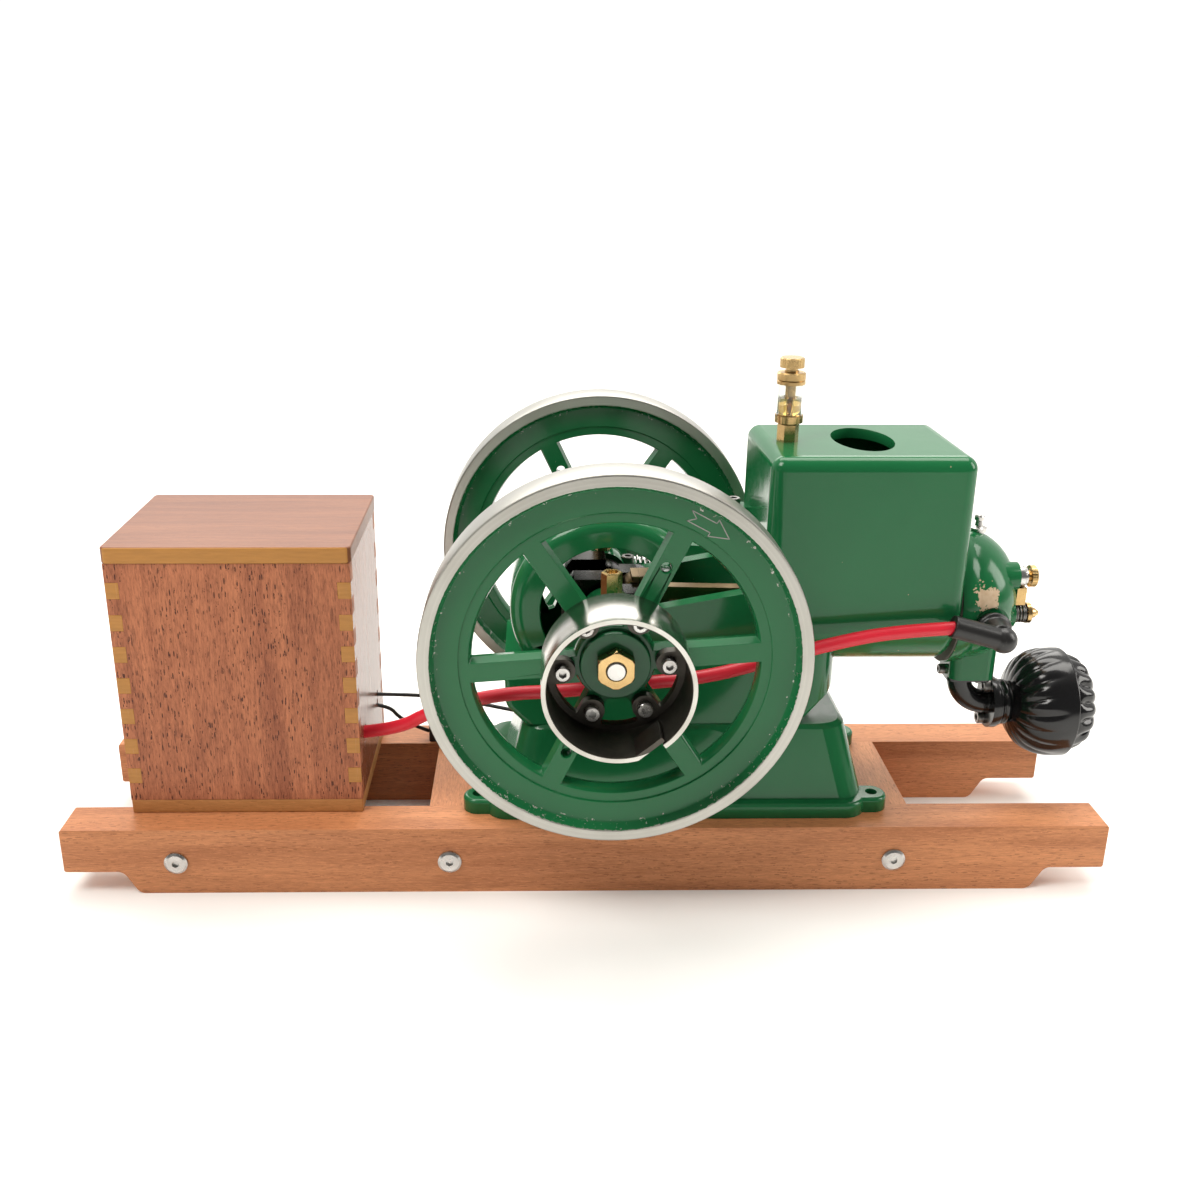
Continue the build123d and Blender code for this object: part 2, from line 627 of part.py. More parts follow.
def cylinder_head():
    """Head casting with plug boss, valve guides, exhaust port and rocker posts."""
    body = head_dome()
    body += rod_y(-24.0, -10.0, PLUG_X, PLUG_Z, 7.6)
    port = block(142.0, 159.6, PORT_Y - 9, PORT_Y + 9, PORT_Z, 92)
    body += fillet(port.edges().filter_by(Axis.Z), 4.0)
    body += rod_x(150, HEAD_FACE_X, -12.0, 118.0, 5.6)
    body += rod_x(150, HEAD_FACE_X, INTAKE_Y, INTAKE_Z, 5.6)
    body += rod_x(150, HEAD_FACE_X, EXHAUST_Y, EXHAUST_Z, 5.6)
    post = block(150, ROCKER_X + 4.5, ROCKER_Y - 4.5, ROCKER_Y + 4.5, EXHAUST_Z - 8, EXHAUST_Z - 4)
    post += block(150, ROCKER_X + 4.5, ROCKER_Y - 4.5, ROCKER_Y + 4.5, EXHAUST_Z + 4, EXHAUST_Z + 8)
    post += block(146, 158, ROCKER_Y - 4.5, ROCKER_Y - 1.0, EXHAUST_Z - 8, EXHAUST_Z + 8)
    body += fillet(post.edges().filter_by(Axis.Z), 1.0)
    body -= rod_x(HEAD_X - 1, HEAD_X + 4, 0, CRANK_Z, BORE_R)
    for y, z in ((INTAKE_Y, INTAKE_Z), (EXHAUST_Y, EXHAUST_Z)):
        inward = 0.45
        body -= rod_x(HEAD_X - 1, SEAT_X + 0.2, y * inward, CRANK_Z + (z - CRANK_Z) * inward, 4.0)
        body -= rod_x(SEAT_X, HEAD_FACE_X + 1, y, z, STEM_R + FIT)
        body -= rod_x(HEAD_FACE_X, HEAD_FACE_X + 5, y, z, 4.3)
    body -= rod_x(HEAD_FACE_X, HEAD_FACE_X + 5, -12.0, 118.0, 4.6)
    body -= block(HEAD_FACE_X, 170, -15.8, -6.8, 106.6, 115)
    body -= rod_y(-40, -24, PLUG_X, PLUG_Z, 7.6)
    body -= rod_y(-25, -15.5, PLUG_X, PLUG_Z, 4.0)
    body -= rod_z(PORT_Z - 1, PORT_Z + 1.9, PORT_X + 8.0, PORT_Y, 1.1)
    body -= rod_x(141, 146, PORT_Y, PORT_Z + 1.2, 1.1)
    body -= rod_z(PORT_Z - 1, PORT_Z + 8, PORT_X, PORT_Y, PIPE_BORE)
    body -= rod_z(EXHAUST_Z - 9, EXHAUST_Z + 9, ROCKER_X, ROCKER_Y, ROCKER_PIN_R)
    body -= rod_z(126, 136, 152.4, 1.5, 1.8)
    body -= rod_z(131.8, 136, 152.4, 1.5, 3.4)
    body -= rod_x(156, HEAD_FACE_X + 1, -12.0, 118.0, 3.0)
    return body


# ================================================================ head fittings
def intake_valve():
    """Atmospheric intake valve with a long conical brass keeper."""
    stem = rod_x(SEAT_X + 3.0, 172.0, INTAKE_Y, INTAKE_Z, STEM_R)
    keeper = turned(
        [(0, 0), (4.0, 0), (4.0, 1.6), (2.4, 2.2), (1.9, 3.6), (0.9, 5.0), (0, 5.0)],
        (169.3, INTAKE_Y, INTAKE_Z), (1, 0, 0),
    )
    return stem + keeper


def exhaust_valve():
    """Exhaust valve stem with its spring collar."""
    stem = rod_x(SEAT_X + 3.0, 171.5, EXHAUST_Y, EXHAUST_Z, STEM_R)
    return stem + turned(
        [(0, 0), (3.8, 0), (3.8, 1.2), (2.0, 1.8), (0, 1.8)], (168.6, EXHAUST_Y, EXHAUST_Z), (1, 0, 0)
    )


def mixer_body():
    """Fuel mixer: a knurled steel collar on the head, and its brass jet block below."""
    ring = [(0, 0), (4.2, 0), (4.2, 2.6), (3.6, 3.0), (3.6, 3.6), (0, 3.6)]
    body = turned(ring, (HEAD_FACE_X, -12.0, 118.0), (1, 0, 0))
    body += rod_x(156, HEAD_FACE_X, -12.0, 118.0, 3.0)
    body += block(HEAD_FACE_X, HEAD_FACE_X + 3.6, -15.4, -8.6, 107.4, 114.2)
    body += rod_y(-11.0, -7.4, FUEL_END[0], FUEL_END[1], 1.7)
    body -= rod_y(-8.6, -7.0, FUEL_END[0], FUEL_END[1], 1.2)
    return body - rod_x(157, 170, -12.0, 118.0, 1.1)


def needle_valve():
    """Fuel needle with a grooved brass thumb disc."""
    body = rod_x(158, 170, -12.0, 118.0, 1.1 - FIT)
    disc = turned(
        [(0, 0), (2.2, 0), (2.2, 1.0), (4.2, 1.2), (4.2, 3.2), (3.8, 3.6), (0, 3.6)],
        (167.8, -12.0, 118.0), (1, 0, 0),
    )
    for k in range(20):
        angle = math.radians(18 * k)
        disc -= rod_x(167.5, 172, -12.0 + 4.35 * math.cos(angle), 118.0 + 4.35 * math.sin(angle), 0.28)
    return body + disc


def priming_cup():
    """Brass priming cup with a steel screw plug."""
    return turned(
        [(0, -4.5), (1.8, -4.5), (1.8, 0), (3.2, 0), (3.2, 1.6), (1.5, 2.4), (1.3, 4.2), (1.9, 4.6),
         (2.0, 6.0), (1.5, 6.6), (0, 6.6)],
        (152.4, 1.5, 131.8), (0, 0, 1),
    )


def spark_plug():
    """Small spark plug: thread, hexagon, insulator and terminal."""
    plug = turned(
        [(0, 0), (4.0, 0), (4.0, 8.5), (5.0, 8.5), (5.0, 9.5), (3.0, 10.5), (2.7, 16.5), (1.6, 17.1),
         (1.6, 19.5), (0, 19.5)],
        (PLUG_X, -15.5, PLUG_Z), (0, -1, 0),
    )
    return plug + aimed(hexagon(9.0, 2.6), (PLUG_X, -24.0, PLUG_Z), (0, -1, 0))


def spark_plug_boot():
    """Right-angled rubber boot: skirt over the plug, elbow, and tube for the lead."""
    knuckle = (152.6, -36.0, 101.6)
    mouth = (133.0, -36.0, 107.1)
    axis = Vector(*mouth) - Vector(*knuckle)
    tube = aimed(Pos(0, 0, axis.length / 2) * Cylinder(4.2, axis.length), knuckle, axis)
    tube += Pos(*knuckle) * Sphere(5.0)
    plug_end = (PLUG_X, -27.4, PLUG_Z)
    skirt = [(0, 0), (6.8, 0), (6.8, 1.5), (5.6, 2.2), (5.0, 9), (0, 9)]
    body = tube + turned(skirt, plug_end, (0, -1, 0))
    socket = [(0, -2), (5.2, -2), (5.2, 1.0), (3.3, 1.0), (3.1, 6.6), (2.0, 6.6), (2.0, 9.0), (0, 9.0)]
    body -= turned(socket, plug_end, (0, -1, 0))
    back = Vector(*LEAD_ROUTE[-2]) - Vector(*LEAD_ROUTE[-1])
    start = Vector(*LEAD_ROUTE[-1]) - back.normalized() * 0.3
    return body - aimed(Pos(0, 0, 5.0) * Cylinder(LEAD_R + 0.15, 10.0), start, back)


# ================================================================ exhaust
def exhaust_elbow():
    """Elbow pipe made of two straight stubs and a quarter bend, with a ring at each end."""
    bend = PORT_Z - 2.0 - MUFFLER_Z
    centre = (PORT_X + bend, PORT_Y, MUFFLER_Z + bend)

    def pipe(radius):
        ring = Plane(origin=(PORT_X, PORT_Y, MUFFLER_Z + bend), z_dir=(0, 0, 1)) * Circle(radius)
        quarter = revolve(ring, Axis(centre, (0, -1, 0)), 90)
        drop = rod_z(MUFFLER_Z + bend, PORT_Z, PORT_X, PORT_Y, radius)
        return quarter + drop + rod_x(PORT_X + bend, COLLAR_X + 2.8, PORT_Y, MUFFLER_Z, radius)

    body = pipe(PIPE_R)
    body += rod_x(COLLAR_X, COLLAR_X + 2.8, PORT_Y, MUFFLER_Z, 10.2)
    pad = block(PORT_X - 6, PORT_X + 11, PORT_Y - 5.5, PORT_Y + 5.5, PORT_Z - 2.2, PORT_Z)
    body += fillet(pad.edges().filter_by(Axis.Z), 2.5)
    body -= rod_z(PORT_Z - 3, PORT_Z + 1, PORT_X + 8.0, PORT_Y, 1.1)
    body -= pipe(PIPE_BORE)
    body -= rod_z(PORT_Z - 0.5, PORT_Z + 1, PORT_X, PORT_Y, PIPE_BORE)
    for y, z in collar_screw_places():
        body -= rod_x(COLLAR_X - 1, COLLAR_X + 4, y, z, SCREW_M3_R)
    return body


def muffler_front_shell():
    """Front half of the muffler with its ringed neck."""
    neck_x = COLLAR_X + 2.8
    profile = [
        (PIPE_BORE, 0), (9.4, 0), (9.4, 1.6), (8.2, 1.9), (8.2, 2.5), (9.0, 2.8), (9.0, 4.2),
        (8.0, 4.6), (8.0, 5.6), (13.0, 7.0), (17.0, 9.6), (19.9, 13.4), (21.3, 18.0), (21.6, 22.0),
        (21.6, 26.2), (20.4, 26.2), (20.4, 22.0), (20.1, 18.2), (18.8, 14.0), (16.2, 10.6),
        (12.4, 8.2), (PIPE_BORE, 6.8),
    ]
    body = turned(profile, (neck_x, PORT_Y, MUFFLER_Z), (1, 0, 0))
    for y, z in collar_screw_places():
        body -= rod_x(neck_x - 1, neck_x + 1.3, y, z, SCREW_M3_R)
    return body


def muffler_rear_shell():
    """Rear dome of the muffler with its round outlet."""
    x0 = COLLAR_X + 2.8 + 26.2
    depth = DOME_X - x0
    profile = [
        (21.0, 0), (20.4, 1.6), (19.0, 1.8), (17.4, depth - 3.2), (13.5, depth - 0.8), (9.0, depth),
        (3.0, depth), (3.0, depth - 1.2), (8.8, depth - 1.2), (12.9, depth - 2.0), (16.2, depth - 4.2),
        (17.8, 0.6), (17.8, 0),
    ]
    return turned(profile, (x0, PORT_Y, MUFFLER_Z), (1, 0, 0))


# ================================================================ crank group
def crankshaft():
    """One-piece crankshaft, its pin towards the cylinder, with a starter stub at the far end."""
    body = rod_y(-HUB_FRONT, -WEB_Y[0], CRANK_X, CRANK_Z, SHAFT_R)
    body += rod_y(WEB_Y[0], HUB_FRONT, CRANK_X, CRANK_Z, SHAFT_R)
    body += rod_y(-THREAD_END, -HUB_FRONT, CRANK_X, CRANK_Z, NEAR_THREAD_R)
    body += rod_y(HUB_FRONT, THREAD_END, CRANK_X, CRANK_Z, THREAD_R)
    body += rod_y(THREAD_END, PULLEY_FRONT, CRANK_X, CRANK_Z, STUB_R)
    body = chamfer(body.edges().group_by(Axis.Y)[0], 0.5)
    body = chamfer(body.edges().group_by(Axis.Y)[-1], 0.6)
    weight = Circle(COUNTERWEIGHT_R) & Rectangle(60, COUNTERWEIGHT_HEIGHT)
    web = Pos(CRANK_X, CRANK_Z) * weight
    web -= Pos(CRANK_X + 20.5, CRANK_Z) * Rectangle(40, 60)
    web += Pos(CRANK_X, CRANK_Z) * Circle(9.0)
    web += Pos(CRANK_X + THROW, CRANK_Z) * Circle(6.5)
    web += Pos(CRANK_X + THROW / 2, CRANK_Z) * Rectangle(THROW, 13)
    for side in (-1, 1):
        y0, y1 = sorted((side * WEB_Y[0], side * WEB_Y[1]))
        body += plate_xz(web, y0, y1)
    return body + rod_y(-WEB_Y[0], WEB_Y[0], CRANK_X + THROW, CRANK_Z, PIN_R)


def wheel_blank():
    """Rim, web and six spokes, with drafted round-cornered windows, turned about Z."""
    half = (WHEEL_FRONT - WHEEL_BACK) / 2
    face = half - RIM_RECESS
    low = face - RING_GROOVE
    lip = WHEEL_R - RIM_FACE
    upper = [
        (RING_INNER_R, low), (RING_INNER_R, face), (lip - 1.4, face), (lip, half),
        (WHEEL_R - 0.4, half), (WHEEL_R, half - 0.4),
    ]
    lower = [(r, -h) for r, h in reversed(upper)]
    body = turned([(SHAFT_R - 1, low)] + upper + lower + [(SHAFT_R - 1, -low)], (0, 0, 0), (0, 0, 1))
    windows = Circle(WINDOW_R) - Circle(HUB_WINDOW_R)
    for k in range(SPOKES // 2):
        windows -= Rot(0, 0, 60 * k) * Rectangle(3 * WINDOW_R, SPOKE_FACE)
    for window in windows.faces():
        window = fillet(window.vertices(), WINDOW_CORNER)
        plug = Pos(0, 0, -low) * extrude(window, low, taper=SPOKE_DRAFT)
        body -= plug
        body -= Rot(180, 0, 0) * plug
    return body


def flywheel(side):
    """Spoked flywheel; side is -1 for the near one and 1 for the far one."""
    body = wheel_blank()
    middle = (WHEEL_FRONT + WHEEL_BACK) / 2
    body += Pos(0, 0, (HUB_FRONT + HUB_BACK) / 2 - middle) * Cylinder(HUB_R, HUB_FRONT - HUB_BACK)
    body -= Cylinder(SHAFT_R, 60)
    for angle in (60, 240):
        body -= Rot(0, 0, angle) * Pos(38.0, 0, 0) * Cylinder(1.9, 30)
    if side < 0:
        for k in range(SPOKES):
            body -= Rot(0, 0, 60 * k) * Pos(PULLEY_PCD / 2, 0, 0) * Cylinder(SCREW_M3_R, 12)
    turn = Rot(0, SPOKE_FIRST * side, 0) * Rot(-90 * side, 0, 0)
    return Pos(CRANK_X, side * middle, CRANK_Z) * turn * body


def starter_pulley():
    """Thin starting cup with six screw lugs and a bent rope hook in its rim."""
    seat = WHEEL_FRONT - RIM_RECESS - 0.6
    cup_y = -PULLEY_FRONT
    body = rod_y(cup_y, -seat, CRANK_X, CRANK_Z, PULLEY_R)
    body -= rod_y(cup_y - 1, -seat - PULLEY_FLANGE, CRANK_X, CRANK_Z, PULLEY_R - PULLEY_WALL)
    opening = Circle(21.6)
    for k in range(SPOKES):
        lug = Rot(0, 0, SPOKE_FIRST + 60 * k)
        opening -= lug * Pos(PULLEY_PCD / 2, 0) * Circle(4.3)
        opening -= lug * Pos(PULLEY_PCD / 2 + 3.5, 0) * Rectangle(7, 8.6)
    rim = [v for v in opening.vertices() if math.hypot(v.X, v.Y) > 20]
    opening = fillet(rim, 0.8)
    body -= plate_xz(Pos(CRANK_X, CRANK_Z) * opening, -seat - PULLEY_FLANGE - 1, -seat + 1)
    for x, z in pulley_screw_places():
        body -= rod_y(-seat - 6, -seat + 1, x, z, SCREW_M3_R)
    slot = outline([(0, 0)] + [polar(34, a) for a in (-75, -63.5, -52)])
    body -= plate_xz(Pos(CRANK_X, CRANK_Z) * slot, cup_y - 1, cup_y + 13)
    root = Pos(*polar(PULLEY_R - PULLEY_WALL / 2, -75))
    hook = root * Rot(0, 0, 40) * Pos(5.2, 0) * Rectangle(11.4, PULLEY_WALL)
    hook = fillet(hook.vertices(), 0.5)
    return body + plate_xz(Pos(CRANK_X, CRANK_Z) * hook, cup_y, cup_y + 13)


def polar(radius, degrees):
    """Point at a radius and an angle."""
    angle = math.radians(degrees)
    return (radius * math.cos(angle), radius * math.sin(angle))


def pulley_screw_places():
    """Centres of the six pulley screws, in X and Z."""
    places = []
    for k in range(SPOKES):
        dx, dz = polar(PULLEY_PCD / 2, SPOKE_FIRST + 60 * k)
        places.append((CRANK_X + dx, CRANK_Z + dz))
    return places


def pulley_screws():
    """Six M3 socket screws holding the cup to the near flywheel."""
    seat = -(WHEEL_FRONT - RIM_RECESS - 0.6) - PULLEY_FLANGE
    return [aimed(cap_screw(8.0), (x, seat, z), (0, -1, 0)) for x, z in pulley_screw_places()]


def hub_nuts():
    """Brass nut on the threaded end and a steel collar nut on the starter stub."""
    near = hexagon(12.4, 4.8)
    near = near & Cone(13.0, 5.0, 16)
    near = aimed(near, (CRANK_X, -HUB_FRONT, CRANK_Z), (0, -1, 0))
    near -= rod_y(-80, -60, CRANK_X, CRANK_Z, NEAR_THREAD_R)
    far = aimed(hexagon(12.4, 4.8), (CRANK_X, HUB_FRONT, CRANK_Z), (0, 1, 0))
    far -= rod_y(60, 80, CRANK_X, CRANK_Z, THREAD_R)
    return [near, far]


def gear_face(teeth, thin):
    """Involute spur gear outline with a tooth centred on +X; thin is the backlash per tooth."""
    pitch_r = GEAR_MODULE * teeth / 2
    base_r = pitch_r * math.cos(math.radians(20))
    tip_r = pitch_r + 0.9 * GEAR_MODULE
    root_r = pitch_r - 1.2 * GEAR_MODULE

    def involute(r):
        angle = math.acos(min(1.0, base_r / r))
        return math.tan(angle) - angle

    half_pitch = math.pi / (2 * teeth) - thin / (2 * pitch_r)
    offset = half_pitch + involute(pitch_r)
    radii = [max(root_r, base_r) + (tip_r - max(root_r, base_r)) * k / 4 for k in range(5)]
    points = []
    for tooth in range(teeth):
        centre = 2 * math.pi * tooth / teeth
        flank = [(r, involute(r) - offset) for r in radii]
        low = [(root_r, flank[0][1])] if root_r < base_r else []
        side = low + flank
        for r, a in side + [(r, -a) for r, a in reversed(side)]:
            points.append((r * math.cos(centre + a), r * math.sin(centre + a)))
    return make_face(Polyline(*points, close=True))


def mesh_angle():
    """Direction in degrees from the crank axis to the cam axis, in the XZ plane."""
    drop = EXHAUST_Z - CRANK_Z
    distance = GEAR_MODULE * (CRANK_TEETH + CAM_TEETH) / 2
    return math.degrees(math.asin(drop / distance))


def cam_centre():
    """Cam axis, in X and Z."""
    dx, dz = polar(GEAR_MODULE * (CRANK_TEETH + CAM_TEETH) / 2, mesh_angle())
    return (CRANK_X + dx, CRANK_Z + dz)


def crank_gear():
    """Twenty-tooth timing pinion on the crankshaft."""
    face = gear_face(CRANK_TEETH, 0.06) - Circle(SHAFT_R)
    face = Pos(CRANK_X, CRANK_Z) * Rot(0, 0, mesh_angle()) * face
    return plate_xz(face, *GEAR_Y)


def cam_gear():
    """Forty-tooth timing gear with the exhaust cam on its inner face."""
    half_tooth = 180 / CAM_TEETH
    place = Pos(*cam_centre())
    gear = gear_face(CAM_TEETH, 0.06)
    gear = place * Rot(0, 0, mesh_angle() + 180 + half_tooth) * gear
    lobe = Circle(CAM_BASE_R) + Pos(-(CAM_BASE_R + CAM_LIFT - 3.0), 0) * Circle(3.0)
    lobe = make_hull(lobe.edges())
    body = plate_xz(gear, *GEAR_Y) + plate_xz(place * lobe, *CAM_Y)
    return body - rod_y(CAM_Y[0] - 1, GEAR_Y[1] + 1, *cam_centre(), ROCKER_PIN_R + FIT)


# ================================================================ rod and piston
def tapered_bar(x0, x1, half0, half1):
    """Bar outline on the crank line, from one half-height to another."""
    return outline([
        (x0, CRANK_Z - half0), (x1, CRANK_Z - half1), (x1, CRANK_Z + half1), (x0, CRANK_Z + half0),
    ])


def connecting_rod():
    """Rod with a split big end round the crank pin; its small end stops short of the piston."""
    pin_x = CRANK_X + THROW
    body = rod_y(-5.5, 5.5, pin_x, CRANK_Z, 8.0)
    body += block(pin_x, pin_x + 5, -5.5, 5.5, CRANK_Z - 9, CRANK_Z + 9)
    body += plate_xz(tapered_bar(pin_x + 4, ROD_END_X, 4.0, 2.8), -2.5, 2.5)
    pocket = tapered_bar(pin_x + 12, ROD_END_X - 8, 2.2, 1.4)
    body -= plate_xz(pocket, 1.2, 3)
    body -= plate_xz(pocket, -3, -1.2)
    body += rod_y(-4.5, 4.5, ROD_END_X, CRANK_Z, 4.4)
    body -= rod_y(-6, 6, ROD_END_X, CRANK_Z, WRIST_R)
    body -= rod_y(-6, 6, pin_x, CRANK_Z, PIN_R + FIT)
    return body - block(pin_x - 10, pin_x, -6, 6, CRANK_Z - 12, CRANK_Z + 12)


def rod_cap():
    """Bolted half of the rod's big end."""
    pin_x = CRANK_X + THROW
    body = rod_y(-5.5, 5.5, pin_x, CRANK_Z, 8.0)
    body += block(pin_x - 3, pin_x, -5.5, 5.5, CRANK_Z - 9, CRANK_Z + 9)
    body -= rod_y(-6, 6, pin_x, CRANK_Z, PIN_R + FIT)
    return body - block(pin_x, pin_x + 10, -6, 6, CRANK_Z - 12, CRANK_Z + 12)


def piston():
    """Trunk piston with two ring grooves and a wrist pin bore."""
    body = rod_x(*PISTON_X, 0, CRANK_Z, BORE_R - 0.03)
    body -= rod_x(PISTON_X[0] - 1, PISTON_X[1] - 4, 0, CRANK_Z, 9.4)
    for x in (131.0, 127.5):
        groove = rod_x(x, x + 1.6, 0, CRANK_Z, BORE_R + 1) - rod_x(x, x + 1.6, 0, CRANK_Z, 10.6)
        body -= groove
    return body - rod_y(-14, 14, WRIST_X, CRANK_Z, WRIST_R)


def piston_rings():
    """Two piston rings in their grooves."""
    rings = []
    for x in (131.0, 127.5):
        rings.append(rod_x(x, x + 1.6, 0, CRANK_Z, BORE_R - 0.02) - rod_x(x, x + 1.6, 0, CRANK_Z, 10.6))
    return rings


def wrist_pin():
    """Hollow wrist pin."""
    return rod_y(-11.2, 11.2, WRIST_X, CRANK_Z, WRIST_R) - rod_y(-12, 12, WRIST_X, CRANK_Z, 1.5)


# ================================================================ valve gear
def valve_gear_pins():
    """Fixed stud of the cam gear and the rocker's pivot pin."""
    x, z = cam_centre()
    stud = rod_y(CASE_HALF - 8, GEAR_Y[1] + 0.4, x, z, ROCKER_PIN_R)
    stud += rod_y(GEAR_Y[1] + 0.2, GEAR_Y[1] + 1.8, x, z, 3.4)
    stud += rod_y(CASE_HALF, CAM_Y[0] - 0.3, x, z, 3.4)
    pin = rod_z(EXHAUST_Z - 8.6, EXHAUST_Z + 8.6, ROCKER_X, ROCKER_Y, ROCKER_PIN_R)
    return [stud, pin]


def pushrod():
    """Pushrod from the cam to the rocker, with a flat foot and a ball tip."""
    x0 = cam_centre()[0] + CAM_BASE_R + CAM_LIFT + 0.3
    body = rod_x(x0, ROCKER_X - 5.5, PUSHROD_Y, EXHAUST_Z, PUSHROD_R)
    body += rod_x(x0, x0 + 3.0, PUSHROD_Y, EXHAUST_Z, 2.3)
    return body + Pos(ROCKER_X - 5.2, PUSHROD_Y, EXHAUST_Z) * Sphere(2.0)


def rocker_arm():
    """Rocker lying flat, between the pushrod tip and the exhaust stem."""
    arm = rod_z(EXHAUST_Z - 3.8, EXHAUST_Z + 3.8, ROCKER_X, ROCKER_Y, 4.2)
    low, high = EXHAUST_Z - 2.6, EXHAUST_Z + 2.6
    toe = ROCKER_X + 4.0
    arm += block(ROCKER_X - 2.6, ROCKER_X + 2.6, ROCKER_Y, PUSHROD_Y + 2.6, low, high)
    arm += block(toe, toe + 4.4, EXHAUST_Y - 2.6, ROCKER_Y, low, high)
    arm += block(ROCKER_X, toe + 4.4, ROCKER_Y - 2.5, ROCKER_Y + 2.5, low, high)
    return arm - rod_z(EXHAUST_Z - 5, EXHAUST_Z + 5, ROCKER_X, ROCKER_Y, ROCKER_PIN_R + FIT)


# ================================================================ oiler
def oiler_body():
    """Drip oiler base: hexagonal stem and the lower cup of the glass."""
    body = Pos(OILER_X, OILER_Y, HOPPER_TOP) * hexagon(7.0, 6.4)
    body += rod_z(HOPPER_TOP - 3.4, HOPPER_TOP + 1, OILER_X, OILER_Y, 2.4)
    return body + turned(
        [(0, 6.0), (2.6, 6.0), (3.4, 6.4), (5.2, 7.2), (5.3, 9.9), (4.4, 9.9), (4.4, 10.4), (0, 10.4)],
        (OILER_X, OILER_Y, HOPPER_TOP), (0, 0, 1),
    )


def oiler_glass():
    """Sight glass tube."""
    z0 = HOPPER_TOP + 10.4
    return rod_z(z0, 190.0, OILER_X, OILER_Y, 5.1) - rod_z(z0 - 1, 191, OILER_X, OILER_Y, 4.3)


def oiler_cap():
    """Turned cap of the oiler."""
    return turned(
        [(0.9, 0), (0.9, -5.6), (1.9, -5.6), (1.9, 0), (5.3, 0), (5.3, 1.1), (5.0, 1.4), (5.3, 1.7),
         (5.3, 3.9), (4.8, 4.4), (2.6, 4.4), (2.6, 5.0), (0.9, 5.0)],
        (OILER_X, OILER_Y, 190.0), (0, 0, 1),
    )


def oiler_knob():
    """Knurled feed knob with its spindle."""
    spindle = rod_z(180.0, 197.0, OILER_X, OILER_Y, 0.9 - FIT)
    knob = turned(
        [(0, 0.1), (2.2, 0.1), (2.2, 0.9), (4.5, 1.1), (4.5, 4.3), (4.1, 4.7), (0, 4.7)],
        (OILER_X, OILER_Y, 195.0), (0, 0, 1),
    )
    for k in range(24):
        dx, dy = polar(4.65, 15 * k)
        knob -= rod_z(195, 201, OILER_X + dx, OILER_Y + dy, 0.28)
    return spindle + knob


# ================================================================ leads
def hall_sensor():
    """Small sensor block that the wires run to, on the back rail."""
    body = block(-66.0, -56.0, 28.0, 36.0, RAIL_HEIGHT, RAIL_HEIGHT + 7.4)
    return fillet(body.edges().filter_by(Axis.Z), 1.0)


def pieces():
    """Every node and its solids."""
    intake_coil = helical_spring(HEAD_FACE_X + 0.2, 169.2, INTAKE_Y, INTAKE_Z, 3.4, 0.45, 5)
    exhaust_coil = helical_spring(HEAD_FACE_X + 0.2, 168.5, EXHAUST_Y, EXHAUST_Z, 3.2, 0.45, 4)
    return {
        "front_rail": rail(-1),
        "back_rail": rail(1),
        "cross_members": cross_members(),
        "rail_screws": rail_screws(),
        "box_front_panel": long_panel(0),
        "box_back_panel": long_panel(1),
        "box_left_panel": side_panel(0),
        "box_right_panel": side_panel(1),
        "box_base": box_base(),
        "box_lid": box_lid(),
        "battery_pack": battery_pack(),
        "ignition_module": ignition_module(),
        "sub_base": sub_base(),
        "fuel_tank": fuel_tank(),
        "fuel_pipe": fuel_pipe(),
        "crankcase": crankcase(),
        "bearing_caps": bearing_caps(),
        "bearing_bushes": bearing_bushes(),
        "bearing_oil_cups": oil_cups(),
        "cap_screws": cap_screw_group(),
        "crank_guard": crank_guard(),
        "water_hopper": water_hopper(),
        "cylinder_liner": cylinder_liner(),
        "head_gasket": head_gasket(),
        "cylinder_head": cylinder_head(),
        "mixer_body": mixer_body(),
        "needle_valve": needle_valve(),
        "intake_valve": intake_valve(),
        "intake_valve_spring": intake_coil,
        "exhaust_valve": exhaust_valve(),
        "exhaust_valve_spring": exhaust_coil,
        "valve_gear_pins": valve_gear_pins(),
        "pushrod": pushrod(),
        "rocker_arm": rocker_arm(),
        "cam_gear": cam_gear(),
        "crankshaft": crankshaft(),
        "crank_gear": crank_gear(),
        "near_flywheel": flywheel(-1),
        "far_flywheel": flywheel(1),
        "hub_nuts": hub_nuts(),
        "starter_pulley": starter_pulley(),
        "pulley_screws": pulley_screws(),
        "connecting_rod": connecting_rod(),
        "rod_cap": rod_cap(),
        "piston": piston(),
        "piston_rings": piston_rings(),
        "wrist_pin": wrist_pin(),
        "spark_plug": spark_plug(),
        "spark_plug_boot": spark_plug_boot(),
        "priming_cup": priming_cup(),
        "exhaust_elbow": exhaust_elbow(),
        "muffler_front_shell": muffler_front_shell(),
        "muffler_rear_shell": muffler_rear_shell(),
        "oiler_body": oiler_body(),
        "oiler_glass": oiler_glass(),
        "oiler_cap": oiler_cap(),
        "oiler_knob": oiler_knob(),
        "ht_lead": cord(LEAD_ROUTE, LEAD_R, "ht_lead"),
        "sensor_wires": [
            cord(SENSOR_WIRE, WIRE_R, "sensor wire"),
            cord(GROUND_WIRE, WIRE_R, "ground wire"),
        ],
        "hall_sensor": hall_sensor(),
    }


def write_parts():
    """Write one STEP per node."""
    os.makedirs("parts", exist_ok=True)
    for name, shape in pieces().items():
        if isinstance(shape, list):
            shape = Compound(children=[solid for part in shape for solid in part.solids()])
        export_step(shape, f"parts/{name}.step")


write_parts()
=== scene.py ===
"""Looks of the hopper-cooled model engine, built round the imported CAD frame."""
import math

import bpy
from mathutils import Matrix, Vector


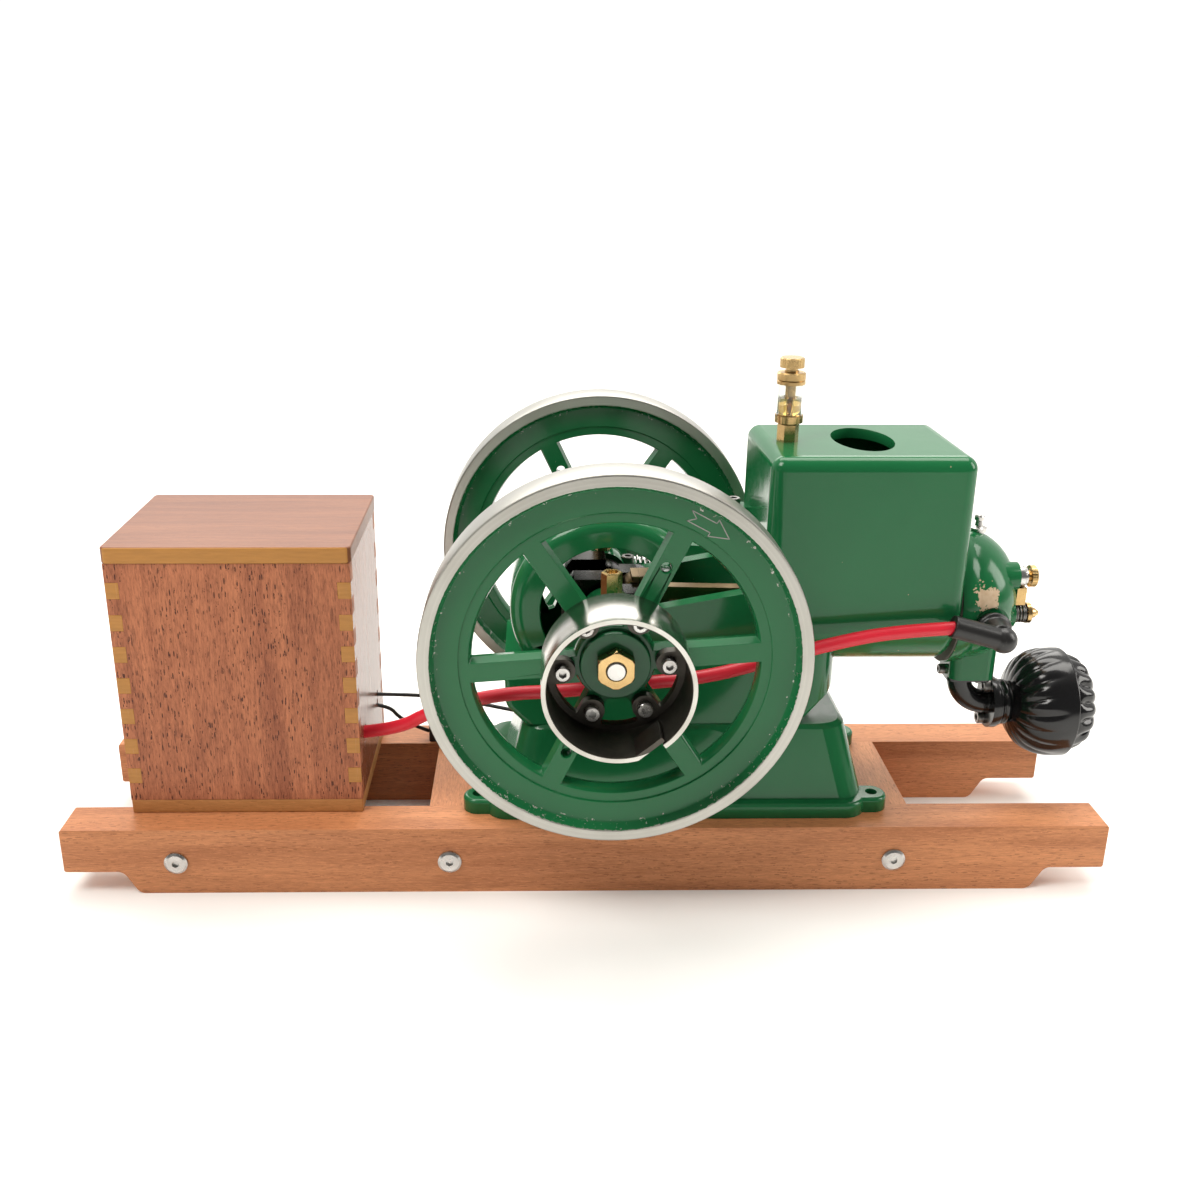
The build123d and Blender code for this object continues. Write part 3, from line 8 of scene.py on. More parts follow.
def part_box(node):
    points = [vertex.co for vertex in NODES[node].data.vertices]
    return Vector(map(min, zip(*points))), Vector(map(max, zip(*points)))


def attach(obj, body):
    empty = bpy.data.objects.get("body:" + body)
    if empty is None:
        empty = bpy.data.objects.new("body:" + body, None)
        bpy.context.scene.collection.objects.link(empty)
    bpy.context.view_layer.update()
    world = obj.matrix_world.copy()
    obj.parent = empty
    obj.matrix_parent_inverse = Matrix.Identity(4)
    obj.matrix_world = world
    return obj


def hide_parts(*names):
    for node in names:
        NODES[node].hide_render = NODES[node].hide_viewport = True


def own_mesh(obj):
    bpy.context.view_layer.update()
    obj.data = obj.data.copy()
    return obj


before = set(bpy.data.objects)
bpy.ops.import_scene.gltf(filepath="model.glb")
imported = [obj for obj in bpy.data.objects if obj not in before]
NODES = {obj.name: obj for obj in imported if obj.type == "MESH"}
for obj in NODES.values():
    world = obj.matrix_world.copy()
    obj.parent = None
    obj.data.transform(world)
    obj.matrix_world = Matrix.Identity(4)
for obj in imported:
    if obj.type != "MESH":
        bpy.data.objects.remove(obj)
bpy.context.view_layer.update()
MM = 0.001

# ---------------------------------------------------------------- sizes, in mm
CRANK = (7.7, 106.6)
WHEEL_R = 67.35
RIM_INNER_R = 63.2
RIM_FRONT = 70.0
RIM_BACK = 56.5
CHIPPED_R = 61.7
CHIPPED_WIDTH = 1.2
RING_Y = -67.8
CUP_INNER_R = 23.9
CHEEKS_HALF = 21.5
MIXER_SPLIT = 114.3
MIXER_TOP = 130.0
COLLAR_X = 163.0
MUFFLER_Y = -8.0
MUFFLER_Z = 63.4
NECK_BORE = 3.3
FRONT_SHELL_LENGTH = 26.2
DOME_END = 199.3
SPRING_SEAT = 164.2
SPRING_WIRE_R = 0.45
OIL_R = 4.25
OIL_DEPTH = 5.6
SPINDLE_R = 1.0
ARROW_LINE = 0.32
ARROW_DEPTH = 0.25
LEAD_DIAMETER = 5.0
WIRE_DIAMETER = 1.6
LEAD_ROUTE = [
    (-106.7, -16, 54), (-77, -16.4, 54.4), (-56, -34, 74), (-32, -45.5, 85), (-8, -46.5, 86.5),
    (18, -45.5, 89), (42, -44, 90.5), (64, -40.5, 95), (88, -37, 100.5), (112, -35.6, 105),
    (135.2, -36, 106.4),
]
SENSOR_WIRE = [(-106, 20.5, 50.3), (-83, 20.8, 50.2), (-77, 26.5, 38), (-66.4, 31, 31.4)]
GROUND_WIRE = [(-106, 21.7, 53.6), (-82, 21.9, 53.4), (-57, 29, 48.5), (-29.2, 24, 44.5)]


# ================================================================ node helpers
class Nodes:
    """Small builder of a material's node tree."""

    def __init__(self, name):
        self.material = bpy.data.materials.new(name)
        self.material.use_nodes = True
        self.tree = self.material.node_tree
        self.shader = self.tree.nodes["Principled BSDF"]
        self.coords = self.add("ShaderNodeTexCoord").outputs["Object"]

    def add(self, kind, **values):
        """New node; values set its attributes."""
        node = self.tree.nodes.new(kind)
        for key, value in values.items():
            setattr(node, key, value)
        return node

    def put(self, socket, value):
        """Link an output or store a plain value in a socket."""
        if isinstance(value, bpy.types.NodeSocket):
            self.tree.links.new(value, socket)
        else:
            socket.default_value = value

    def scaled(self, x, y, z):
        """Object coordinates stretched per axis."""
        node = self.add("ShaderNodeMapping")
        self.put(node.inputs["Vector"], self.coords)
        node.inputs["Scale"].default_value = (x, y, z)
        return node.outputs["Vector"]

    def noise(self, scale, detail=3.0, rough=0.5, vector=None, distortion=0.0):
        """Noise value from 0 to 1."""
        node = self.add("ShaderNodeTexNoise")
        self.put(node.inputs["Vector"], vector or self.coords)
        node.inputs["Scale"].default_value = scale
        node.inputs["Detail"].default_value = detail
        node.inputs["Roughness"].default_value = rough
        node.inputs["Distortion"].default_value = distortion
        return node.outputs["Fac"]

    def cells(self, scale, vector=None):
        """Distance to the nearest random point."""
        node = self.add("ShaderNodeTexVoronoi")
        self.put(node.inputs["Vector"], vector or self.coords)
        node.inputs["Scale"].default_value = scale
        return node.outputs["Distance"]

    def math(self, operation, a, b=0.0, c=0.0, clamp=False):
        """Arithmetic on one to three values."""
        node = self.add("ShaderNodeMath", operation=operation, use_clamp=clamp)
        for socket, value in zip(node.inputs, (a, b, c)):
            self.put(socket, value)
        return node.outputs["Value"]

    def mix(self, factor, a, b, blend="MIX"):
        """Mix two colours."""
        node = self.add("ShaderNodeMix", data_type="RGBA", blend_type=blend)
        self.put(node.inputs["Factor"], factor)
        for socket, value in ((node.inputs[6], a), (node.inputs[7], b)):
            self.put(socket, value if isinstance(value, bpy.types.NodeSocket) else (*value, 1))
        return node.outputs[2]

    def axes(self):
        """Object X, Y and Z as three values."""
        node = self.add("ShaderNodeSeparateXYZ")
        self.put(node.inputs[0], self.coords)
        return node.outputs

    def combined(self, x, y):
        """Vector from two values."""
        node = self.add("ShaderNodeCombineXYZ")
        self.put(node.inputs[0], x)
        self.put(node.inputs[1], y)
        return node.outputs[0]

    def crank_radius(self, x, z):
        """Distance from the crankshaft's axis."""
        dx = self.math("SUBTRACT", x, CRANK[0] * MM)
        dz = self.math("SUBTRACT", z, CRANK[1] * MM)
        squares = self.math("ADD", self.math("MULTIPLY", dx, dx), self.math("MULTIPLY", dz, dz))
        return self.math("SQRT", squares)

    def tarnish(self):
        """Slow cloudy variation of a metal, from 0 to 1."""
        return self.step(self.noise(70, 4, 0.6), 0.35, 0.75)

    def step(self, value, low, high):
        """0 below low, 1 above high, straight between."""
        node = self.add("ShaderNodeMapRange")
        self.put(node.inputs["Value"], value)
        node.inputs["From Min"].default_value = low
        node.inputs["From Max"].default_value = high
        return node.outputs["Result"]

    def bump(self, height, strength, distance):
        """Bump normal from a height."""
        node = self.add("ShaderNodeBump")
        self.put(node.inputs["Height"], height)
        node.inputs["Strength"].default_value = strength
        node.inputs["Distance"].default_value = distance
        return node.outputs["Normal"]

    def finish(self, colour=None, roughness=None, metallic=None, normal=None, specular=0.5):
        """Wire the shader and return the material."""
        self.shader.inputs["Specular IOR Level"].default_value = specular
        wanted = {"Base Color": colour, "Roughness": roughness, "Metallic": metallic, "Normal": normal}
        for name, value in wanted.items():
            if value is None:
                continue
            if isinstance(value, tuple):
                value = (*value, 1)
            self.put(self.shader.inputs[name], value)
        return self.material


# ================================================================ materials
GREEN_DEEP = (0.006, 0.100, 0.032)
GREEN_LIGHT = (0.014, 0.150, 0.050)
PRIMER = (0.44, 0.29, 0.17)
GLOSS_LEVEL = 0.36
WOOD_GLOSS_LEVEL = 0.30
PAINT_DEPTH = 0.0006
MARK_DEPTH = 0.0004


def enamel_colour(n):
    """Brushed-on enamel green with slow variation."""
    return n.mix(n.noise(18, 2), GREEN_DEEP, GREEN_LIGHT)


def enamel(name, patch=None, sound=0.80):
    """Thick gloss green enamel; patch is (centre, size) in mm of a bare spot, sound the chips' limit."""
    n = Nodes(name)
    colour = enamel_colour(n)
    rough = n.step(n.noise(240, 3), 0.3, 0.8)
    rough = n.math("MULTIPLY_ADD", rough, 0.07, 0.12)
    height = n.noise(90, 2)
    chips = n.math("GREATER_THAN", n.noise(420, 2), sound)
    if patch:
        centre, size = patch
        offset = n.add("ShaderNodeVectorMath", operation="DISTANCE")
        n.put(offset.inputs[0], n.coords)
        offset.inputs[1].default_value = tuple(c * MM for c in centre)
        wobble = n.noise(300, 4, 0.7)
        reach = n.math("MULTIPLY_ADD", wobble, -2.6 * size * MM, 2.1 * size * MM)
        flaked = n.math("LESS_THAN", offset.outputs["Value"], reach)
        chips = n.math("MAXIMUM", chips, flaked)
    bare = n.mix(n.noise(600, 3), PRIMER, (0.60, 0.47, 0.33))
    colour = n.mix(chips, colour, bare)
    rough = n.math("MULTIPLY_ADD", chips, 0.35, rough)
    height = n.math("MULTIPLY_ADD", chips, -0.9, height)
    return n.finish(colour, rough, 0.0, n.bump(height, 0.10, PAINT_DEPTH), GLOSS_LEVEL)


def wheel_paint(name, side):
    """Green casting with a turned bright rim and a worn paint edge."""
    n = Nodes(name)
    x, y, z = n.axes()
    radius = n.crank_radius(x, z)
    ragged = n.math("MULTIPLY_ADD", n.noise(700, 3, 0.7), 0.0011, -0.00055)
    rim = n.math("GREATER_THAN", n.math("ADD", radius, ragged), (RIM_INNER_R - 0.1) * MM)
    along = n.math("MULTIPLY", y, float(side))
    proud = n.math("GREATER_THAN", along, RIM_FRONT * MM)
    inside = n.math("LESS_THAN", along, RIM_BACK * MM)
    from_edge = n.math("ABSOLUTE", n.math("SUBTRACT", radius, CHIPPED_R * MM))
    chip_zone = n.math("LESS_THAN", from_edge, CHIPPED_WIDTH * MM)
    chips = n.math("MULTIPLY", chip_zone, n.math("GREATER_THAN", n.noise(520, 3, 0.8), 0.635))
    spots = n.math("GREATER_THAN", n.noise(330, 2), 0.80)
    outer = n.math("GREATER_THAN", radius, (WHEEL_R - 0.6) * MM)
    face = n.math("MAXIMUM", n.math("MAXIMUM", proud, inside), outer)
    bare = n.math("MULTIPLY", rim, face)
    shine = n.math("MAXIMUM", bare, n.math("MAXIMUM", chips, spots))
    lathe = n.noise(60, 4, 0.6, n.combined(n.math("MULTIPLY", radius, 90.0), n.math("MULTIPLY", y, 90.0)))
    bright = n.mix(lathe, (0.34, 0.33, 0.30), (0.53, 0.52, 0.48))
    grime = n.math("MULTIPLY", n.step(n.noise(40, 4), 0.5, 0.8), 0.35)
    worn = n.mix(grime, bright, (0.26, 0.24, 0.20))
    colour = n.mix(shine, enamel_colour(n), worn)
    rough = n.math("MULTIPLY_ADD", shine, 0.20, n.math("MULTIPLY_ADD", n.noise(240, 3), 0.06, 0.12))
    height = n.math("MULTIPLY_ADD", shine, -0.5, n.math("MULTIPLY_ADD", lathe, 0.15, n.noise(90, 2)))
    return n.finish(colour, rough, shine, n.bump(height, 0.10, PAINT_DEPTH), GLOSS_LEVEL)


def metal(name, light, dark, rough, scale=300.0, stretch=(1, 1, 1), bump=0.05):
    """Machined metal with fine tool marks and slight tarnish."""
    n = Nodes(name)
    marks = n.noise(scale, 4, 0.65, n.scaled(*stretch))
    colour = n.mix(n.tarnish(), light, dark)
    roughness = n.math("MULTIPLY_ADD", marks, 0.16, rough)
    return n.finish(colour, roughness, 1.0, n.bump(marks, bump, MARK_DEPTH))


def two_metals(name, axis, low, high, inside, outside):
    """Machined metal with one pair of colours between two heights on an axis, another elsewhere."""
    n = Nodes(name)
    marks = n.noise(300.0, 4, 0.65)
    value = n.axes()[axis]
    within = n.math("MULTIPLY", n.math("GREATER_THAN", value, low), n.math("LESS_THAN", value, high))
    tarnish = n.tarnish()
    colour = n.mix(within, n.mix(tarnish, *outside), n.mix(tarnish, *inside))
    roughness = n.math("MULTIPLY_ADD", marks, 0.16, 0.18)
    return n.finish(colour, roughness, 1.0, n.bump(marks, 0.05, MARK_DEPTH))


def cup_steel(name):
    """Turned starter cup: polished outside and rim, and a painted dark reflection and shade on the inside
    wall.
    """
    n = Nodes(name)
    x, y, z = n.axes()
    radius = n.crank_radius(x, z)
    inside = n.math("LESS_THAN", radius, CUP_INNER_R * MM)
    marks = n.noise(60, 4, 0.6, n.combined(n.math("MULTIPLY", radius, 120.0), n.math("MULTIPLY", y, 120.0)))
    polished = n.mix(n.tarnish(), (0.58, 0.57, 0.53), (0.42, 0.40, 0.36))
    # The inside wall's near-black colour is a painted dark reflection and shade of the surroundings, not
    # oil.
    painted_dark_reflection = n.mix(n.noise(120, 4, 0.7), (0.04, 0.04, 0.036), (0.15, 0.135, 0.115))
    colour = n.mix(inside, polished, painted_dark_reflection)
    rough = n.math("MULTIPLY_ADD", inside, 0.28, n.math("MULTIPLY_ADD", marks, 0.16, 0.12))
    return n.finish(colour, rough, 1.0, n.bump(marks, 0.06, MARK_DEPTH))


def plastic(name, colour, other, rough, scale=500.0, bump=0.06, speck=None):
    """Moulded rubber or plastic with a fine texture and pale scuffs."""
    n = Nodes(name)
    fine = n.noise(scale, 4, 0.7)
    shade = n.mix(n.noise(60, 3), colour, other)
    if speck:
        dust = n.step(n.noise(900, 3, 0.8), 0.60, 0.72)
        worn = n.step(n.noise(90, 2), 0.45, 0.7)
        scuffs = n.math("MULTIPLY", dust, worn)
        shade = n.mix(n.math("MULTIPLY", scuffs, 0.55), shade, speck)
    roughness = n.math("MULTIPLY_ADD", fine, 0.18, rough)
    return n.finish(shade, roughness, 0.0, n.bump(fine, bump, MARK_DEPTH))


def wood(name, grain, light, dark, pore, gloss, edge=None, pores=1.0, bands=1.0):
    """Mahogany whose grain runs along axis grain; edge is (axis, low, high, colour) for end strips."""
    n = Nodes(name)

    def grained(along, across):
        return n.scaled(*(along if axis == grain else across for axis in "xyz"))

    wavy = n.noise(9, 4, 0.55, grained(1, 14), 0.6)
    fine = n.noise(60, 5, 0.7, grained(1, 22), 0.3)
    colour = n.mix(n.step(wavy, 0.5 - 0.22 * bands, 0.5 + 0.22 * bands), dark, light)
    colour = n.mix(n.math("MULTIPLY", n.step(fine, 0.45, 0.75), 0.45), colour, dark)
    streak = n.noise(230, 4, 0.8, grained(1, 9), 0.4)
    colour = n.mix(n.math("MULTIPLY", n.step(streak, 0.50, 0.64), 0.62 * pores), colour, pore)
    pale = tuple(1.35 * c for c in light)
    colour = n.mix(n.math("MULTIPLY", n.step(streak, 0.47, 0.36), 0.30), colour, pale)
    flecks = n.cells(1000, grained(0.20, 1))
    zone = n.step(n.noise(14, 3, 0.6, grained(1, 4)), 0.30, 0.55)
    hole = n.math("MULTIPLY", n.math("LESS_THAN", flecks, 0.27), n.step(n.noise(800, 1), 0.38, 0.50))
    hole = n.math("MULTIPLY", n.math("MULTIPLY", hole, zone), pores)
    colour = n.mix(hole, colour, pore)
    if edge:
        axis, low, high, strip = edge
        value = n.axes()[axis]
        outside = n.math("MAXIMUM", n.math("LESS_THAN", value, low), n.math("GREATER_THAN", value, high))
        streaks = n.noise(30, 4, 0.6, n.scaled(4, 4, 30))
        colour = n.mix(outside, colour, n.mix(streaks, strip, tuple(0.62 * c for c in strip)))
    height = n.math("MULTIPLY_ADD", hole, -0.8, n.math("MULTIPLY", fine, 0.4))
    roughness = n.math("MULTIPLY_ADD", fine, 0.12, gloss)
    return n.finish(colour, roughness, 0.0, n.bump(height, 0.16, MARK_DEPTH), WOOD_GLOSS_LEVEL)


def glass(name):
    """Clear sight glass."""
    n = Nodes(name)
    n.shader.inputs["Transmission Weight"].default_value = 1.0
    n.shader.inputs["IOR"].default_value = 1.45
    smear = n.math("MULTIPLY_ADD", n.noise(120, 3), 0.05, 0.01)
    return n.finish((0.84, 0.86, 0.84), smear, 0.0)


def oil(name):
    """Amber oil."""
    n = Nodes(name)
    n.shader.inputs["Transmission Weight"].default_value = 0.9
    n.shader.inputs["IOR"].default_value = 1.47
    colour = n.mix(n.noise(150, 2), (0.92, 0.66, 0.24), (0.85, 0.54, 0.15))
    return n.finish(colour, 0.05, 0.0)


RAIL = dict(light=(0.65, 0.275, 0.118), dark=(0.42, 0.155, 0.062), pore=(0.170, 0.055, 0.024))
BOX = dict(light=(0.55, 0.200, 0.092), dark=(0.30, 0.094, 0.044), pore=(0.075, 0.021, 0.012))
OCHRE = (0.54, 0.245, 0.056)
BRASS = ((0.66, 0.46, 0.21), (0.38, 0.24, 0.10))
STEEL = ((0.66, 0.65, 0.63), (0.42, 0.40, 0.38))
# Near-black painted shade for the crank cheeks inside the dark crankcase, not oil.
PAINTED_SHADE_CHEEKS = ((0.030, 0.026, 0.022), (0.012, 0.010, 0.009))


def materials():
    """Every material by slot name."""
    low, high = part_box("box_base")
    skin = 0.0003
    lid_low, lid_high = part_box("box_lid")
    return {
        "rail_x": wood("mahogany_rail", "x", gloss=0.42, pores=0.45, **RAIL),
        "rail_y": wood("mahogany_cross", "y", gloss=0.42, pores=0.45, **RAIL),
        "box_front": wood("box_front_wood", "z", gloss=0.45, **BOX),
        "box_side": wood(
            "box_side_wood", "z", (0.30, 0.115, 0.060), (0.20, 0.065, 0.036), (0.09, 0.028, 0.016), 0.20,
            edge=(1, low.y + skin, high.y - skin, OCHRE), pores=0.4,
        ),
        "box_base": wood(
            "box_base_wood", "x", (0.56, 0.27, 0.095), (0.42, 0.18, 0.055), BOX["pore"], 0.45, pores=0.2
        ),
        "lid": wood(
            "lid_wood", "x", (0.255, 0.098, 0.045), (0.165, 0.056, 0.026), (0.10, 0.030, 0.016), 0.30,
            edge=(1, lid_low.y + skin, lid_high.y - skin, OCHRE), pores=0.3, bands=0.8,
        ),
        "enamel": enamel("green_enamel"),
        "head": enamel("green_enamel_head", ((148.5, -22.5, 113.2), 6.6), 0.755),
        "near_wheel": wheel_paint("near_wheel_paint", -1),
        "far_wheel": wheel_paint("far_wheel_paint", 1),
        "steel": metal("bright_steel", *STEEL, 0.20),
        "dark_steel": metal("dark_steel", (0.30, 0.29, 0.28), (0.16, 0.15, 0.14), 0.28),
        "cup": cup_steel("cup_steel"),
        "iron": metal("machined_iron", (0.40, 0.39, 0.38), (0.24, 0.23, 0.22), 0.34),
        "brass": metal("brass", *BRASS, 0.18),
        "bronze": metal("bronze", (0.44, 0.30, 0.16), (0.25, 0.16, 0.08), 0.26),
        "mixer": two_metals("mixer_metals", 2, MIXER_SPLIT * MM, MIXER_TOP * MM, STEEL, BRASS),
        # The crank cheeks between the two heights take the near-black painted shade; the rest is bright
        # steel.
        "crank": two_metals("crank_metals", 1, -CHEEKS_HALF * MM, CHEEKS_HALF * MM, PAINTED_SHADE_CHEEKS, STEEL),
        "copper": metal("copper", (0.78, 0.40, 0.24), (0.50, 0.22, 0.12), 0.26),
        "spring": metal("spring_steel", (0.24, 0.23, 0.22), (0.12, 0.115, 0.11), 0.26),
        "gloss_black": plastic(
            "black_enamel", (0.004, 0.004, 0.005), (0.008, 0.008, 0.008), 0.07, 200, 0.03
        ),
        "rubber": plastic(
            "black_rubber", (0.007, 0.007, 0.007), (0.014, 0.013, 0.013), 0.24, 700, 0.08,
            speck=(0.24, 0.23, 0.21),
        ),
        "lead": plastic("red_silicone", (0.70, 0.018, 0.040), (0.58, 0.012, 0.028), 0.30, 400, 0.05),
        "wire": plastic("black_pvc", (0.010, 0.010, 0.011), (0.020, 0.020, 0.020), 0.30),
        "plastic": plastic("black_moulding", (0.014, 0.014, 0.015), (0.026, 0.026, 0.027), 0.45),
        "cell": plastic("cell_sleeve", (0.03, 0.09, 0.28), (0.05, 0.14, 0.36), 0.22),
        "gasket": plastic("gasket_sheet", (0.10, 0.09, 0.08), (0.16, 0.14, 0.12), 0.75),
        "glass": glass("sight_glass"),
        "oil": oil("amber_oil"),
    }


MATERIAL_OF = {
    "front_rail": "rail_x", "back_rail": "rail_x", "cross_members": "rail_y", "rail_screws": "steel",
    "box_front_panel": "box_front", "box_back_panel": "box_front", "box_left_panel": "box_side",
    "box_right_panel": "box_side", "box_base": "box_base", "box_lid": "lid", "battery_pack": "cell",
    "ignition_module": "plastic", "sub_base": "enamel", "fuel_tank": "brass", "fuel_pipe": "copper",
    "crankcase": "enamel", "bearing_caps": "enamel", "bearing_bushes": "bronze",
    "bearing_oil_cups": "brass", "cap_screws": "dark_steel", "crank_guard": "enamel",
    "water_hopper": "enamel", "cylinder_liner": "iron", "head_gasket": "gasket",
    "cylinder_head": "head", "mixer_body": "mixer", "needle_valve": "brass", "intake_valve": "brass",
    "exhaust_valve": "steel", "valve_gear_pins": "steel", "rocker_arm": "brass", "pushrod": "steel",
    "cam_gear": "steel", "crankshaft": "crank", "crank_gear": "steel", "near_flywheel": "near_wheel",
    "far_flywheel": "far_wheel", "hub_nuts": "brass", "starter_pulley": "cup",
    "pulley_screws": "steel", "connecting_rod": "bronze", "rod_cap": "bronze", "piston": "iron",
    "piston_rings": "steel", "wrist_pin": "steel", "spark_plug": "steel", "priming_cup": "steel",
    "exhaust_elbow": "gloss_black", "oiler_body": "brass", "oiler_glass": "glass",
    "oiler_cap": "brass", "oiler_knob": "brass", "hall_sensor": "plastic",
}
BEVEL_OF = {
    "crankcase": 1.2, "bearing_caps": 0.6, "water_hopper": 0.5, "cylinder_head": 0.8, "sub_base": 0.5,
    "crank_guard": 0.35, "box_front_panel": 0.12, "box_right_panel": 0.12, "box_left_panel": 0.12,
    "front_rail": 0.5, "back_rail": 0.5, "cross_members": 0.4, "box_base": 0.5, "starter_pulley": 0.18,
    "near_flywheel": 0.3, "far_flywheel": 0.3, "exhaust_elbow": 0.35, "rocker_arm": 0.4,
    "hub_nuts": 0.2, "bearing_oil_cups": 0.15, "mixer_body": 0.2, "connecting_rod": 0.4,
    "rod_cap": 0.4, "hall_sensor": 0.3, "ignition_module": 0.6, "crankshaft": 0.3,
}


WELD_GAP = 0.000002
SHARP_ANGLE = 35


def dress_nodes(look):
    """Give every CAD node its material and softened edges."""
    for name, key in MATERIAL_OF.items():
        piece = NODES[name]
        piece.data.materials.clear()
        piece.data.materials.append(look[key])
        width = BEVEL_OF.get(name)
        if width is None:
            continue
        weld = piece.modifiers.new("weld", "WELD")
        weld.merge_threshold = WELD_GAP
        bevel = piece.modifiers.new("soft_edges", "BEVEL")
        bevel.width = width * MM
        bevel.segments = 2
        bevel.limit_method = "ANGLE"
        bevel.angle_limit = math.radians(SHARP_ANGLE)
        bevel.harden_normals = False
        bevel.use_clamp_overlap = True


# ================================================================ pieces
def new_piece(name, mesh_data, material, body, smooth=True):
    """Object from (points in mm, faces) riding on a body."""
    points, faces = mesh_data
    mesh = bpy.data.meshes.new(name)
    mesh.from_pydata([[c * MM for c in p] for p in points], [], faces)
    mesh.validate()
    if smooth:
        mesh.polygons.foreach_set("use_smooth", [True] * len(mesh.polygons))
    mesh.materials.append(material)
    piece = bpy.data.objects.new(name, mesh)
    bpy.context.scene.collection.objects.link(piece)
    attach(piece, body)
    return piece


def swept(rows, closed_ends=False):
    """Faces joining rings of points, row after row."""
    points = [p for row in rows for p in row]
    count = len(rows[0])
    faces = []
    for i in range(len(rows) - 1):
        for j in range(count):
            a = i * count + j
            b = i * count + (j + 1) % count
            faces.append((a, b, b + count, a + count))
    if closed_ends:
        faces.append(tuple(reversed(range(count))))
        faces.append(tuple(range(len(points) - count, len(points))))
    else:
        last = (len(rows) - 1) * count
        for j in range(count):
            faces.append((last + j, last + (j + 1) % count, (j + 1) % count, j))
    return points, faces


def fluted_shell(profile, start_x, lobes, depth, spin):
    """Turned closed profile of (radius, x, flute share); flutes curl by spin along it."""
    sides = lobes * 14
    rows = []
    for radius, x, share in profile:
        row = []
        for j in range(sides):
            angle = 2 * math.pi * j / sides
            wave = abs(math.sin(lobes * (angle + spin * (x / FRONT_SHELL_LENGTH)) / 2))
            r = radius - depth * share * (1 - wave ** 0.8)
            row.append((start_x + x, MUFFLER_Y + r * math.cos(angle), MUFFLER_Z + r * math.sin(angle)))
        rows.append(row)
    return swept(rows)


def smooth_line(points, steps):
    """Points of a Catmull-Rom line through (radius, x, share) knots."""
    knots = [points[0]] + points + [points[-1]]
    line = []
    for a, b, c, d in zip(knots, knots[1:], knots[2:], knots[3:]):
        for k in range(steps):
            t = k / steps
            line.append(tuple(
                0.5 * (2 * q + (r - p) * t + (2 * p - 5 * q + 4 * r - s) * t * t
                       + (3 * q - p - 3 * r + s) * t ** 3)
                for p, q, r, s in zip(a, b, c, d)
            ))
    line.append(points[-1])
    return line


def muffler(look):
    """Fluted bulb muffler: front shell with ringed neck, and rear dome."""
    neck = [
        (NECK_BORE, 0, 0), (9.2, 0, 0), (9.4, 0.3, 0), (9.4, 1.5, 0), (9.0, 1.8, 0), (8.1, 2.0, 0),
        (8.1, 2.6, 0), (8.9, 2.9, 0), (9.0, 4.0, 0), (8.6, 4.4, 0), (7.9, 4.8, 0), (7.9, 5.4, 0),
    ]
    bowl = smooth_line([
        (7.9, 5.4, 0), (12.6, 6.9, 0.7), (17.0, 9.8, 1), (19.9, 13.8, 0.9), (21.3, 18.4, 0.45),
        (21.6, 22.4, 0.05), (21.6, 25.6, 0),
    ], 6)
    lip = [(21.5, 26.0, 0), (21.2, 26.2, 0), (20.4, 26.2, 0)]
    inner = smooth_line([(20.3, 22.0, 0), (18.5, 14.4, 0), (14.0, 9.8, 0), (NECK_BORE, 7.6, 0)], 5)
    front = fluted_shell(neck + bowl + lip + inner, COLLAR_X, lobes=18, depth=1.0, spin=0.25)
    piece = new_piece("fluted_front_shell", front, look["gloss_black"], "skid")
    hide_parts("muffler_front_shell")

    start = COLLAR_X + FRONT_SHELL_LENGTH
    depth = DOME_END - start
    dome = smooth_line([
        (19.4, 0.2, 0), (19.4, 1.8, 0.4), (18.7, 4.2, 1), (17.0, depth - 2.8, 1),
        (13.8, depth - 0.8, 1), (9.0, depth - 0.05, 0.6), (6.0, depth - 0.4, 0), (3.0, depth - 0.6, 0),
    ], 6)
    back = smooth_line([
        (3.0, depth - 1.8, 0), (9.0, depth - 2.2, 0), (14.5, depth - 4.4, 0), (17.4, 0.2, 0),
    ], 5)
    rear = fluted_shell(dome + back, start, lobes=16, depth=2.1, spin=0.0)
    piece = new_piece("fluted_rear_shell", rear, look["gloss_black"], "skid")
    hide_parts("muffler_rear_shell")


def coil(name, node, end_x, y, z, mean_r, turns, material):
    """Round-wire valve spring with closed ends; sizes in mm."""
    wire_r = SPRING_WIRE_R
    steps = turns * 28
    sides = 10
    start = SPRING_SEAT + wire_r
    length = end_x - SPRING_SEAT - 2 * wire_r
    rows = []
    for i in range(steps + 1):
        t = i / steps
        eased = t - 0.09 * math.sin(2 * math.pi * t)
        angle = 2 * math.pi * turns * t
        out = Vector((0, math.cos(angle), math.sin(angle)))
        centre = Vector((start + length * eased, y, z)) + out * mean_r
        row = []
        for j in range(sides):
            a = 2 * math.pi * j / sides
            along = Vector((wire_r * math.sin(a), 0, 0))
            row.append(tuple(centre + out * (wire_r * math.cos(a)) + along))
        rows.append(row)
    piece = new_piece(name, swept(rows, closed_ends=True), material, "skid")
    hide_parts(node)
    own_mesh(piece)


def run_length(route):
    """Length of a route's smooth line, measured on the curve itself."""
    data = bpy.data.curves.new("measure", "CURVE")
    data.dimensions = "3D"
    spline(data, route)
    probe = bpy.data.objects.new("measure", data)
    mesh = bpy.data.meshes.new_from_object(probe)
    total = 0
    for edge in mesh.edges:
        start, end = (mesh.vertices[k].co for k in edge.vertices)
        total += (start - end).length
    bpy.data.meshes.remove(mesh)
    bpy.data.objects.remove(probe)
    bpy.data.curves.remove(data)
    return total


def spline(data, route):
    """One open NURBS spline through a curve's data, with the route as control points."""
    line = data.splines.new("NURBS")
    line.points.add(len(route) - 1)
    for point, place in zip(line.points, route):
        point.co = (*[c * MM for c in place], 1)
    line.order_u = 3
    line.use_endpoint_u = True
    line.resolution_u = 24


